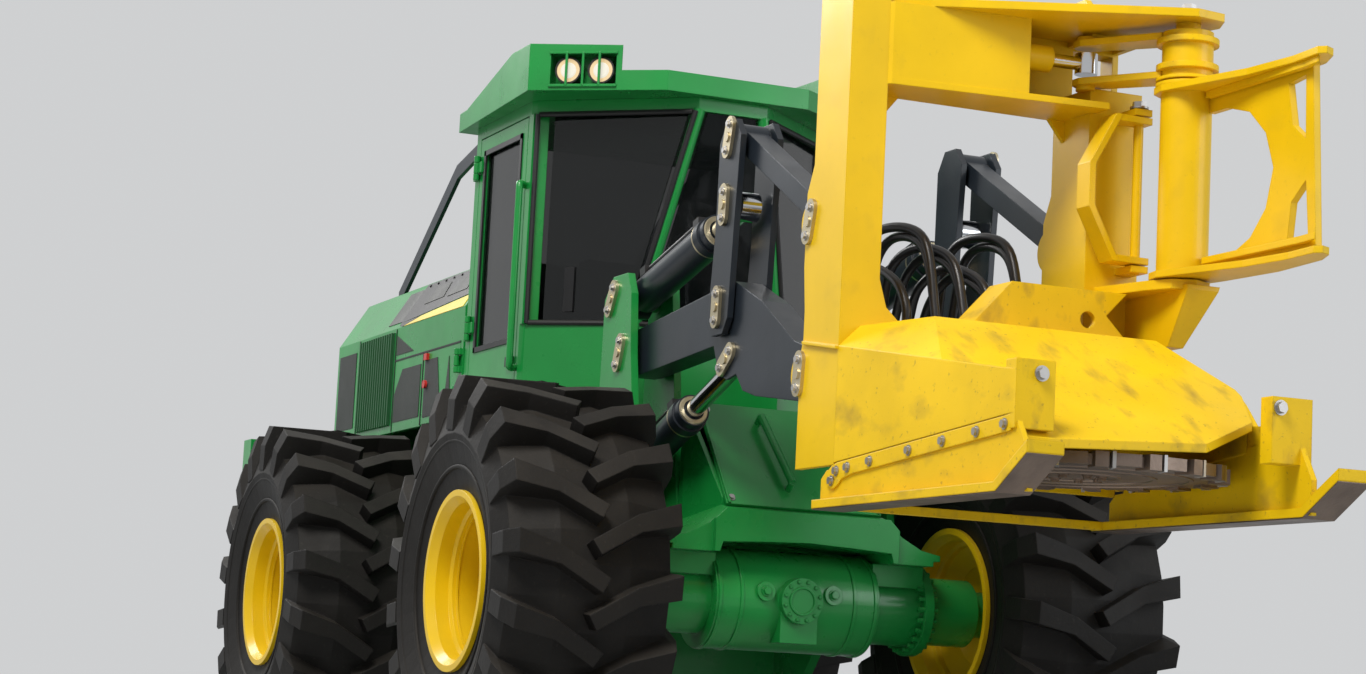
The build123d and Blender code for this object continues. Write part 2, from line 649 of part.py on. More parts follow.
tilt_link.part.label = "tilt_link"
export_step(tilt_link.part, "parts/tilt_link.step")

# Cylinders: (name, foot pin, rod pin, barrel radius, rod radius, gland, rod's root, bore's end from the foot pin)
cylinders = (
    ("tilt", tower_top_pin, crank_mid_pin, tilt_barrel_radius, tilt_rod_radius, 845.0, 577.0, 405.0),
    ("lift", lift_foot, lift_eye, lift_barrel_radius, lift_rod_radius, 760.0, 572.0, 235.0),
)
collar_rise = 8.0
collar_back = 90.0
collar_front = 44.0
for name, foot, eye, barrel_radius, rod_radius, gland, root, bore_end in cylinders:
    with BuildPart() as barrel:
        for sign in signs:
            y = sign * boom_half
            near, far, inside, collar, collar_end = [(s, y, z) for s, z in (
                along(foot, eye, d) for d in (70, gland, bore_end, gland - collar_back, gland - collar_front))]
            mouth = along(foot, eye, gland + 1)
            cross_pin(foot, eye_radius, y - eye_thickness / 2, y + eye_thickness / 2)
            bar_between(near, far, barrel_radius)
            bar_between(collar, collar_end, barrel_radius + collar_rise)
            cross_pin(foot, pin_radius + running_gap, y - eye_thickness, y + eye_thickness, Mode.SUBTRACT)
            bar_between(inside, (mouth[0], y, mouth[1]), rod_radius + running_gap, Mode.SUBTRACT)
    barrel.part.label = name + "_barrels"
    export_step(barrel.part, "parts/" + barrel.part.label + ".step")
    with BuildPart() as rod:
        for sign in signs:
            y = sign * boom_half
            start = along(foot, eye, root)
            bar_between((start[0], y, start[1]), (eye[0], y, eye[1]), rod_radius)
            cross_pin(eye, rod_eye_radius, y - eye_thickness / 2, y + eye_thickness / 2)
    rod.part.label = name + "_rods"
    export_step(rod.part, "parts/" + rod.part.label + ".step")

# Felling head: two columns of plate, a slanted cross beam, a top plate and the brackets of the arms
pin_ear_radius = 78.0
column_side = [
    (head_back, column_low), (head_back, 1640), (head_back + 20, 1700), (head_back + 20, 1800), (head_back, 1960),
    (head_back, 2230), (head_back + 50, 2330), (head_back + 50, column_top), (head_front - 60, column_top),
    (head_front, column_top - 60), (head_front, column_low),
]
lever_eye = (1680.0, 370.0)
slot_back = 1525.0
bracket_high = arm_low - arm_plate - arm_clearance
arm_barrel_radius = 48.0
arm_rod_radius = 25.0
arm_gland = 215.0
arm_line_height = (lever_low + lever_high) / 2


def on_arm(y):
    """The (station, Y, height) on the axis of the arm's cylinder at a Y."""
    return (lever_eye[0] - 30 + 30 * (y + 330) / (lever_eye[1] + 330), y, arm_line_height)


with BuildPart() as head_frame:
    for sign in signs:
        inner_face = sign * (380 + plate_thickness / 2)
        outer_face = sign * (column_outer - plate_thickness / 2)
        for face in (inner_face, outer_face):
            plate(column_side, face, plate_thickness)
            for pin in (head_pin, head_top_pin):
                cross_pin(pin, pin_ear_radius, face - plate_thickness / 2, face + plate_thickness / 2)
        cross_pin(head_pin, pin_radius, *sorted((inner_face, outer_face)))
        block((head_front - plate_thickness, head_front), sorted((sign * 400, sign * (column_outer - 5))),
              (column_low, column_top - 60))
    # the right column's inner plate turns outwards at the front
    block((1560, head_front + 1), (-406, -379), (column_low - 1, column_top + 1), Mode.SUBTRACT)
    block((1640, head_front + 1), (-460, -379), (column_low - 1, column_top + 1), Mode.SUBTRACT)
    deck([(1560, -405), (1560, -380), (head_front, -450), (head_front, -480)], column_low,
         column_top - column_low - 60)
    # cross beams
    deck([(beam_back, -395), (1690, -462), (1712, -440), (1765, 90), (1800, 405), (beam_back, 395)],
         beam_low, plate_thickness)
    block((beam_back, slot_back), (-395, 395), (beam_low, top_plate_height))
    deck([(1690, -462), (1712, -440), (1760, 90), (1740, 90), (1690, -440)],
         beam_low, top_plate_height + 20 - beam_low)
    block((head_back + 80, head_front), (-395, 395), (1500, deck_height - 10))
    # gussets in the window's corners
    bulkhead([(-465, deck_height - 20), (-465, deck_height + 180), (-452, deck_height + 180),
              (-420, deck_height + 75), (-360, deck_height + 20), (-320, deck_height - 10),
              (-320, deck_height - 20)], head_front - 20, 20)
    for sign in signs:
        bulkhead([(sign * 396, beam_low + 5), (sign * 396, beam_low - 100), (sign * 310, beam_low + 5)],
                 beam_back, 20)
    # rib on the right column, in line with the ledge of the housing
    plate([(head_back + 30, ledge_rear + 43), (head_back + 30, ledge_rear + 31), (head_front - 2, ledge_rear - 12),
           (head_front - 2, ledge_rear)], -column_outer - 5, 12)
    # the lever's slot in the left column, and the top plate over it
    block((slot_back, head_front + 1), (300, column_outer + 1), (lever_low - arm_clearance, top_plate_height),
          Mode.SUBTRACT)
    deck([(head_back + 50, -column_outer), (1640, -column_outer), (1720, -300), (2090, 470), (2130, 560), (2110, 680),
          (2020, 720), (1900, 690), (1700, column_outer), (head_back + 50, column_outer)], top_plate_height + 20, 30)
    block((head_back + 50, slot_back), (-column_outer, column_outer), (top_plate_height - 10, top_plate_height + 50))
    # lower bracket, stand and pin of the harvest arm
    deck([(head_front - 10, 420), (1960, 480), (2060, 520), (2100, 600), (2060, 680), (1960, 700),
          (head_front - 10, column_outer)], bracket_high - 35, 35)
    bulkhead([(556, deck_height + seat_gap), (556, bracket_high - 20), (690, bracket_high - 20),
              (620, deck_height + seat_gap)], head_front - 10, 420)
    plate([(1990, deck_height - 1), (2112, bracket_high - 34), (2120, bracket_high - 34), (2120, deck_height - 1)],
          620, 200, Mode.SUBTRACT)
    upright_pin(arm_pivot, arm_pin_radius, bracket_high - 60, top_plate_height + 70)
    # lugs and pin of the holding arm
    for low in (guard_low - arm_clearance - 25, guard_high + arm_clearance):
        block((head_front - 5, guard_pin[0] + 35), (guard_pin[1] - 35, guard_pin[1] + 35), (low, low + 25))
    upright_pin(guard_pin, 18, guard_low - arm_clearance - 30, guard_high + arm_clearance + 35)
    # barrel of the arm's cylinder inside the beam
    bar_between(on_arm(-360), on_arm(arm_gland), arm_barrel_radius)
    block((1610, 1650), (-350, -300), (beam_low + 20, top_plate_height + 30))
    bar_between(on_arm(-315), on_arm(arm_gland + 1), arm_rod_radius + running_gap, Mode.SUBTRACT)
head_frame.part.label = "head_frame"
export_step(head_frame.part, "parts/head_frame.step")

# Saw housing: flat deck, sloped front panel, side skirts with a ledge, box on top, skids and front guards


def panel_height(station):
    """Height of the sloped front panel's outer face."""
    return deck_height - panel_fall * (station - deck_front)


def skirt(sign, profile, depth, thickness):
    """Upright plate drawn as (station, height) that closes in towards the front, its middle a depth inside."""
    corners = []
    for station, height in profile:
        share = (station - head_front) / (skirt_front - head_front)
        y = column_outer + share * (skirt_front_half - column_outer) - depth
        corners.append((station, sign * y, height))
    pane(corners, thickness)


ledge_end = 2406.0
box_high = deck_height + 193.0
box_depth = 165.0
skirt_rear = head_front + 1
skirt_tops = {-1: [(skirt_front, ledge_front)],
              1: [(skirt_front, 1380), (2560, 1400), (2480, 1480), (ledge_end, 1538)]}
with BuildPart() as head_base:
    deck([(head_front, -column_outer), (skirt_front, -skirt_front_half), (2860, -420), (2800, 197), (2626, 487),
          (2450, 563), (head_front, column_outer)], skirt_low_rear - 40, deck_height - skirt_low_rear + 40)
    for roof, half in ((1480, skirt_front_half - housing_wall), (deck_height - housing_wall, ledge_crown_half - 120)):
        roof_end = deck_front + (deck_height - 29 - roof) / panel_fall
        plate([(head_front + housing_wall, 1100), (head_front + housing_wall, roof), (roof_end, roof),
               (2900, panel_height(2900) - 29), (2900, 1100)], 0, 2 * half, Mode.SUBTRACT)
    upright_pin((saw_station, 0), saw_bearing_radius, saw_low + saw_thickness + 20, deck_height)
    plate([(deck_front, deck_height), (deck_front, 2000), (3000, 2000), (3000, panel_height(3000))], 0, 2000,
          Mode.SUBTRACT)
    for sign in signs:
        foot = Vector(head_front + front_axle_x, sign * column_outer, ledge_rear)
        tip = Vector(skirt_front + front_axle_x, sign * skirt_front_half, ledge_front)
        crown = Vector(head_front + front_axle_x, sign * ledge_crown_half, deck_height)
        outwards = (tip - foot).cross(crown - foot) * -sign
        with BuildSketch(Plane(origin=foot, x_dir=tip - foot, z_dir=outwards)) as face:
            Rectangle(3000, 600)
        extrude(face.sketch, amount=250, mode=Mode.SUBTRACT)
    for sign in signs:
        plate([(1600, 1100), (1600, skirt_low_rear), (head_front, skirt_low_rear), (skirt_front, skirt_low_front),
               (3000, skirt_low_front + 13), (3000, 1100)], sign * (skirt_front_half + column_outer) / 2,
              column_outer - skirt_front_half + 2 * housing_wall, Mode.SUBTRACT)
        skirt(sign, [(skirt_rear, skirt_low_rear), (skirt_front, skirt_low_front)] + skirt_tops[sign]
              + [(skirt_rear, ledge_rear)], housing_wall / 2, housing_wall)
    upright_pin((saw_station, 0), saw_spindle_radius + running_gap, saw_low, 1500, Mode.SUBTRACT)
    bulkhead([(-210, deck_height - 20), (-10, box_high), (490, box_high), (550, box_high - 128),
              (550, deck_height - 20)], head_front + seat_gap, box_depth)
    bulkhead([(-140, deck_height), (10, box_high - housing_wall), (465, box_high - housing_wall),
              (525, box_high - 133), (525, deck_height)], head_front - 5, box_depth - 20, Mode.SUBTRACT)
    cross = across(head_front)
    with BuildSketch(cross):
        with Locations((300, box_high - 108)):
            Circle(30)
    extrude(amount=200, mode=Mode.SUBTRACT)
    # skids: a web under each skirt and a worn bottom plate whose toe turns up
    for sign in signs:
        skirt(sign, [(skid_rear, skid_low + 5), (2930, skid_low + 5), (2930, 1200),
                     (skirt_front - 20, skirt_low_front + 20), (skirt_rear, skirt_low_rear + 20),
                     (skirt_rear, skirt_low_rear - 20), (skid_rear + 40, 1215), (skid_rear, 1185)], 18, 20)
        plate([(skid_rear, skid_low), (2900, skid_low), (front_reach, skid_toe_high - 38),
               (front_reach, skid_toe_high), (2960, skid_low + 75), (2890, skid_low + skid_plate),
               (skid_rear, skid_low + skid_plate)],
              sign * (skid_inner + skid_outer) / 2, skid_outer - skid_inner)
    block((skid_rear + 40, head_front - 20), (-skid_outer, skid_outer), (skid_low, skid_low + skid_plate))
    # front guards
    block((2795, 2860), (-545, -405), (1285, 1505))
    block((2795, 2860), (405, 560), (1250, 1468))
head_base.part.label = "head_base"
export_step(head_base.part, "parts/head_base.step")

# Saw disc with its teeth and spindle
with BuildPart() as saw_disc:
    upright_pin((saw_station, 0), saw_radius - 30, saw_low, saw_low + saw_thickness)
    with BuildSketch(level(saw_low - 8)):
        with Locations((saw_station, 0)):
            with PolarLocations(saw_radius - 35, tooth_count):
                Polygon((-35, -32), (35, -22), (35, 22), (-35, 32), align=None)
    extrude(amount=saw_thickness + 16)
    upright_pin((saw_station, 0), saw_spindle_radius, saw_low, 1495)
saw_disc.part.label = "saw_disc"
export_step(saw_disc.part, "parts/saw_disc.step")

# Harvest arm: tube, two crescent plates, a web with a deep throat and a forked lever on top
crescent = [(1900, 560), (1940, 500), (2010, 485), (2150, 520), (2400, 585), (2640, 605), (2800, 592), (2822, 615),
            (2800, 655), (2700, 700), (2400, 735), (2100, 715), (1960, 695), (1900, 650)]


def arm_rise(share):
    """A height at a share of the way from the arm's lower plate to its upper one."""
    return arm_low + share * (arm_high - arm_low)


# the web and its two slots: (station, share of the height)
web = [(s, arm_rise(share)) for s, share in (
    (2075, 1.0), (2700, 1.0), (2735, 0.0), (2075, 0.0), (2075, 0.06), (2220, 0.06), (2350, 0.14), (2440, 0.28),
    (2480, 0.49), (2430, 0.69), (2330, 0.83), (2190, 0.89), (2075, 0.89))]
high_slot = [(s, arm_rise(share)) for s, share in ((2560, 0.92), (2660, 0.94), (2665, 0.60), (2590, 0.69))]
low_slot = [(s, arm_rise(share)) for s, share in ((2590, 0.28), (2672, 0.38), (2690, 0.08), (2570, 0.08))]
lever = [(arm_pivot[0] - 30, arm_pivot[1] - 92), (lever_eye[0] + 25, lever_eye[1] - 45),
         (lever_eye[0] - 20, lever_eye[1] - 45), (lever_eye[0] - 45, lever_eye[1] - 10),
         (lever_eye[0] - 35, lever_eye[1] + 35), (arm_pivot[0] - 90, arm_pivot[1] + 30)]
with BuildPart() as harvest_arm:
    upright_pin(arm_pivot, arm_tube_radius, arm_low - arm_plate, lever_high)
    for low in (arm_low - arm_plate, arm_high):
        deck(crescent, low, arm_plate)
    plate(web, 660, 26)
    plate(high_slot, 660, 40, Mode.SUBTRACT)
    plate(low_slot, 660, 40, Mode.SUBTRACT)
    for low in (lever_low, lever_high - arm_plate):
        deck(lever, low, arm_plate)
    upright_pin(arm_pivot, arm_pin_radius + running_gap, arm_low - 60, lever_high + 20, Mode.SUBTRACT)
harvest_arm.part.label = "harvest_arm"
export_step(harvest_arm.part, "parts/harvest_arm.step")

# Rod of the arm's cylinder, whose eye lies between the lever's plates
with BuildPart() as arm_rod:
    bar_between(on_arm(-300), on_arm(lever_eye[1]), arm_rod_radius)
    upright_pin(lever_eye, 42, arm_line_height - 38, arm_line_height + 38)
arm_rod.part.label = "arm_rod"
export_step(arm_rod.part, "parts/arm_rod.step")

# Holding arm: two ears and a bowed strap
strap_half = 45.0
ear_reach = 120.0
bow = 105.0
bow_end = (guard_high - guard_low) * 190 / 543
with BuildPart() as holding_arm:
    for low in (guard_low, guard_high - 25):
        deck([(guard_pin[0] - strap_half, guard_pin[1] - ear_reach),
              (guard_pin[0] + strap_half, guard_pin[1] - ear_reach),
              (guard_pin[0] + 36, guard_pin[1] + 36), (guard_pin[0] - 36, guard_pin[1] + 36)], low, 25)
        upright_pin(guard_pin, 18 + running_gap, low - 1, low + 26, Mode.SUBTRACT)
    near = guard_pin[1] - ear_reach
    bulkhead([(near, guard_low), (near - bow, guard_low + bow_end), (near - bow, guard_high - bow_end),
              (near, guard_high), (near + 28, guard_high), (near - bow + 25, guard_high - bow_end - 5),
              (near - bow + 25, guard_low + bow_end + 5), (near + 28, guard_low)],
             guard_pin[0] - strap_half, 2 * strap_half)
holding_arm.part.label = "holding_arm"
export_step(holding_arm.part, "parts/holding_arm.step")

# Cab shell: floor, lower walls, posts, top ring and the knuckles of the door
cab_plan = [(cab_rear, -cab_half), (cab_corner[0] - 30, -cab_half), (cab_corner[0], -cab_corner[1]),
            (screen_foot[0], -screen_foot[1]), (screen_foot[0], screen_foot[1]), (cab_corner[0], cab_corner[1]),
            (cab_corner[0] - 30, cab_half), (cab_rear, cab_half)]
door_start = cab_rear + cab_post
door_end = cab_corner[0] - cab_post
door_axis = (door_start + door_gap / 2, cab_half + hinge_stand)
door_hinges = (1500.0, 2060.0, 2820.0)
with BuildPart() as cab_frame:
    deck(cab_plan, cab_floor, cab_sill - cab_floor)
    with BuildSketch(level(cab_floor + cab_wall)):
        outline(cab_plan)
        offset(amount=-cab_wall, kind=Kind.INTERSECTION, mode=Mode.REPLACE)
    extrude(amount=cab_sill - cab_floor, mode=Mode.SUBTRACT)
    deck([(cab_rear, -cab_half), (cab_corner[0] - 30, -cab_half), (cab_corner[0], -cab_corner[1]),
          (screen_head[0], -screen_head[1]), (screen_head[0], screen_head[1]), (cab_corner[0], cab_corner[1]),
          (cab_corner[0] - 30, cab_half), (cab_rear, cab_half)], cab_head, cab_top - cab_head)
    for sign in signs:
        for low, high in ((cab_rear, cab_rear + cab_post), (door_end, cab_corner[0])):
            block((low, high), sorted((sign * (cab_corner[1] - cab_post), sign * cab_half)), (cab_sill, cab_head))
        bar_between((screen_foot[0] - 20, sign * (screen_foot[1] - 10), cab_sill - 10),
                    (screen_head[0] - 20, sign * (screen_head[1] - 10), cab_head + 10), 28)
    block((door_start, door_end), (-cab_half - 1, -cab_half + cab_wall), (cab_floor + 40, cab_sill), Mode.SUBTRACT)
    frame_knuckles(door_axis, -1, -48, cab_half, door_hinges)
cab_frame.part.label = "cab_frame"
export_step(cab_frame.part, "parts/cab_frame.step")

# Cab door on the right, hinged at its rear edge
with BuildPart() as cab_door:
    block((door_start + door_gap, door_end - door_gap), (-cab_half, -cab_half + cab_wall - 2),
          (cab_floor + 40 + door_gap, cab_head - door_gap))
    block((door_start + 80, door_end - 80), (-cab_half - 1, -cab_half + cab_wall), (cab_sill - 60, cab_head - 80),
          Mode.SUBTRACT)
    door_knuckles(door_axis, -1, 60, cab_half, door_hinges)
cab_door.part.label = "cab_door"
export_step(cab_door.part, "parts/cab_door.step")

# Glass: the front screen, two slanted screens, the left and rear windows, and the door's own pane
glass_low = cab_sill + seat_gap
glass_high = cab_head - seat_gap
lean = 0.8
screen_low_edge = glass_low + lean
screen_high_edge = glass_high - lean


def on_screen(share, height):
    """A (station, |Y|, height) on the front edge of the slanted screen, moved towards its rear edge by a share."""
    rise = (height - cab_sill) / (cab_head - cab_sill)
    station = screen_foot[0] - 20 + rise * (screen_head[0] - screen_foot[0])
    y = screen_foot[1] - 10 + rise * (screen_head[1] - screen_foot[1])
    return (station + share * (cab_corner[0] - 30 - station), y + share * (cab_corner[1] - 25 - y), height)


with BuildPart() as cab_glass:
    front = [on_screen(0, screen_low_edge), on_screen(0, screen_high_edge)]
    pane([(front[0][0], -front[0][1] + 40, screen_low_edge), (front[0][0], front[0][1] - 40, screen_low_edge),
          (front[1][0], front[1][1] - 40, screen_high_edge), (front[1][0], -front[1][1] + 40, screen_high_edge)],
         glass_thickness)
    for sign in signs:
        pane([(s, sign * y, z) for s, y, z in (
            on_screen(0.09, glass_low), on_screen(0.86, glass_low),
            on_screen(0.90, glass_high), on_screen(0.06, glass_high))], glass_thickness)
    block((door_start + seat_gap, door_end - seat_gap), (cab_half - 30, cab_half - 30 + glass_thickness),
          (glass_low, glass_high))
    rear_pane_half = cab_corner[1] - cab_post - seat_gap
    block((cab_rear + 15, cab_rear + 15 + glass_thickness), (-rear_pane_half, rear_pane_half),
          (glass_low, glass_high))
cab_glass.part.label = "cab_glass"
export_step(cab_glass.part, "parts/cab_glass.step")
with BuildPart() as door_glass:
    block((door_start + 80 + seat_gap, door_end - 80 - seat_gap), (-cab_half + 15, -cab_half + 15 + glass_thickness),
          (cab_sill - 60 + seat_gap, cab_head - 80 - seat_gap))
door_glass.part.label = "door_glass"
export_step(door_glass.part, "parts/door_glass.step")

# Seat on its pedestal
with BuildPart() as cab_seat:
    block((-1700, -1500), (-150, 150), (cab_floor + cab_wall, 1655))
    plate([(-1800, 1640), (-1330, 1660), (-1330, 1760), (-1690, 1750), (-1760, 2420), (-1870, 2420), (-1830, 1700)],
          0, 500)
    for sign in signs:
        block((-1740, -1420), sorted((sign * 255, sign * 335)), (1870, 1930))
        block((-1740, -1680), sorted((sign * 255, sign * 300)), (1700, 1870))
        block((-1740, -1680), sorted((sign * 245, sign * 260)), (1700, 1760))
cab_seat.part.label = "cab_seat"
export_step(cab_seat.part, "parts/cab_seat.step")

# Roof: slab, rounded off in two pods with a lamp box in each slanted fascia
fascia_run = Vector(roof_corner[0] - roof_front[0], roof_corner[1] - roof_front[1]).normalized()
lamp_place = (-881.0, 650.0, cab_top + 95.0)
cut_reach = 5.0
with BuildPart() as cab_roof:
    deck([(roof_front[0], -roof_front[1]), (roof_front[0], roof_front[1]), (roof_corner[0], roof_corner[1]),
          (roof_rear[0], roof_rear[1]), (roof_rear[0], -roof_rear[1]), (roof_corner[0], -roof_corner[1])],
         cab_top, roof_thickness)
    for sign in signs:
        deck([(-775, sign * 508), (roof_corner[0], sign * roof_corner[1]), (-2000, sign * 806),
              (-2000, sign * 508)], cab_top + roof_thickness, pod_rise)
        plate([(-770, cab_top + roof_thickness + pod_rise + 1), (-770, pod_front_high), (-1300, pod_crown_high),
               (-2001, pod_rear_high), (-2001, cab_top + roof_thickness + pod_rise + 1)],
              sign * 690, 400, Mode.SUBTRACT)
        face = Plane(origin=(lamp_place[0] + front_axle_x, sign * lamp_place[1], lamp_place[2]),
                     x_dir=(fascia_run.X, sign * fascia_run.Y, 0), z_dir=(fascia_run.Y, -sign * fascia_run.X, 0))
        with BuildSketch(face.offset(cut_reach)):
            Rectangle(lamp_width, lamp_height)
        extrude(amount=-lamp_depth - cut_reach, mode=Mode.SUBTRACT)
cab_roof.part.label = "cab_roof"
export_step(cab_roof.part, "parts/cab_roof.step")

# Lamps in the roof's boxes
with BuildPart() as roof_lamps:
    for sign in signs:
        face = Plane(origin=(lamp_place[0] + front_axle_x, sign * lamp_place[1], lamp_place[2]),
                     x_dir=(fascia_run.X, sign * fascia_run.Y, 0), z_dir=(fascia_run.Y, -sign * fascia_run.X, 0))
        with BuildSketch(face.offset(-lamp_depth)):
            with Locations((-lamp_spacing / 2, 0), (lamp_spacing / 2, 0)):
                Circle(lamp_radius)
        extrude(amount=lamp_depth - 25)
roof_lamps.part.label = "roof_lamps"
export_step(roof_lamps.part, "parts/roof_lamps.step")

# Hood shell round the engine, with the knuckles of its doors
hood_section = [(-hood_half, hood_low), (-hood_half, hood_side_top), (-hood_top_half, hood_top),
                (hood_top_half, hood_top), (hood_half, hood_side_top), (hood_half, hood_low)]
hood_door_front = hood_front - 40
hood_door_high = 2010.0
hood_axis = (hood_door_front + door_gap / 2, hood_half + hinge_stand)
hood_hinges = (1740.0, 1920.0)
with BuildPart() as hood:
    bulkhead(hood_section, hood_rear, hood_front - hood_rear)
    bulkhead([(-hood_half + hood_wall, hood_low - 10), (-hood_half + hood_wall, hood_side_top - 10),
              (-hood_top_half + 15, hood_top - hood_wall), (hood_top_half - 15, hood_top - hood_wall),
              (hood_half - hood_wall, hood_side_top - 10), (hood_half - hood_wall, hood_low - 10)],
             hood_rear + hood_wall, hood_front - hood_rear - 2 * hood_wall, Mode.SUBTRACT)
    for sign in signs:
        block((hood_rear, -3780), sorted((sign * (hood_half - hood_wall), sign * hood_half)), (1180, hood_low + 5))
        block((door_rear - door_gap, hood_door_front + door_gap),
              sorted((sign * (hood_half - hood_wall - 1), sign * (hood_half + 1))),
              (hood_low - 1, hood_door_high + door_gap), Mode.SUBTRACT)
        frame_knuckles(hood_axis, sign, 34, hood_half, hood_hinges)
        bulkhead([(sign * 627, 2377), (sign * 723, 2223), (sign * 690, 2200), (sign * 600, 2350)],
                 -3300, 420, Mode.SUBTRACT)
    block((hood_rear, hood_rear + hood_wall), (-hood_half, hood_half), (1180, hood_low + 5))
hood.part.label = "hood"
export_step(hood.part, "parts/hood.step")

# Ribbed screens of the coolers on both flanks
with BuildPart() as side_screens:
    for sign in signs:
        face = sign * hood_half
        block((screen_rear, screen_front), sorted((face, face + sign * 6)), (screen_low, hood_side_top - 20))
        ribs = int((screen_front - screen_rear) / rib_pitch)
        for k in range(ribs):
            station = screen_rear + (k + 0.5) * (screen_front - screen_rear) / ribs
            block((station - rib_width / 2, station + rib_width / 2), sorted((face, face + sign * rib_depth)),
                  (screen_low, hood_side_top - 20))
side_screens.part.label = "side_screens"
export_step(side_screens.part, "parts/side_screens.step")

# Engine side doors, hinged at their front edge
for name, sign in sides:
    with BuildPart() as engine_door:
        block((door_rear, hood_door_front), sorted((sign * (hood_half - hood_wall), sign * hood_half)),
              (hood_low + door_gap, hood_door_high))
        door_knuckles(hood_axis, sign, -60, hood_half, hood_hinges)
    engine_door.part.label = "engine_door_" + name
    export_step(engine_door.part, "parts/" + engine_door.part.label + ".step")

# Engine, a plain mass on the frame
with BuildPart() as engine:
    block((-3500, -2500), (-340, 340), (bulkhead_high, 1980))
engine.part.label = "engine"
export_step(engine.part, "parts/engine.step")

# Rear bumper
with BuildPart() as bumper:
    deck([(hood_rear, -bumper_half), (hood_rear, bumper_half), (hood_rear - 150, bumper_half),
          (-rear_reach, bumper_half - 120), (-rear_reach, -bumper_half + 120), (hood_rear - 150, -bumper_half)],
         bumper_low, bumper_high - bumper_low)
bumper.part.label = "bumper"
export_step(bumper.part, "parts/bumper.step")

# Limb risers from the roof to the hood
with BuildPart() as limb_risers:
    for sign in signs:
        plate([(roof_rear[0], cab_top + 20), (roof_rear[0], cab_top + 80), (-2760, cab_top - 35),
               (-3620, hood_top + 20), (-3620, hood_top), (-3530, hood_top), (-2740, cab_top - 105)],
              sign * 588, 20)
limb_risers.part.label = "limb_risers"
export_step(limb_risers.part, "parts/limb_risers.step")
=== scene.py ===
# %% [markdown]
# # A wheeled feller buncher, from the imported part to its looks
# The part already has every plate, pin and wheel in place. This script gives each surface the finish that
# the real machine has after some weeks of work, adds the small parts that are bolted on, and lights it.
# Blender works in metres, with +X forward, +Y to the machine's left and the floor at Z = 0.

# %% Load the part
import bpy
import json
import math
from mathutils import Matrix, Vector


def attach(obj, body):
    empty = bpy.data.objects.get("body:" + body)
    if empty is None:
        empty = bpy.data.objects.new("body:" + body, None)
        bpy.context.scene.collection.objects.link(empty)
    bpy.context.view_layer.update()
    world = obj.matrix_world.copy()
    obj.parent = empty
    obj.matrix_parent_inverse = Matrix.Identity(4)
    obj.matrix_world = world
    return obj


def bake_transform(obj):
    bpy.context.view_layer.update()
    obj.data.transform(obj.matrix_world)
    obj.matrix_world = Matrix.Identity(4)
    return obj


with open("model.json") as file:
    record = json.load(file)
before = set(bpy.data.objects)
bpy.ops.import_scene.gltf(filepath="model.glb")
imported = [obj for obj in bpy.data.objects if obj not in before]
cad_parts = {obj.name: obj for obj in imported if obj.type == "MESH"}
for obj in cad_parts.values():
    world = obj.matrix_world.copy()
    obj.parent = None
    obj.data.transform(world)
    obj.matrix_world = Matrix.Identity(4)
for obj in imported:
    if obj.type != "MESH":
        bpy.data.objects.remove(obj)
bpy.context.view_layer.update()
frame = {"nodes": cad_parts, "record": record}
nodes = frame["nodes"]

# %% [markdown]
# Places on the machine are given as (station, Y, height) in millimetres. A station is the distance ahead of the
# front axle, which lies 645 mm ahead of the part's origin. Plates, bars, bolts and hoses could be modelled by hand
# in edit mode. Here they all come from a few functions that write vertices and faces straight into a mesh, so that
# each real piece is a short call with its real place and size, and a change of size is a change of one number.

# %% A place on the machine
AXLE_X = 645.0


def at(station, y, height):
    return Vector(((station + AXLE_X) / 1000, y / 1000, height / 1000))


print("the front axle's line crosses the floor at", tuple(at(0, 0, 0)))


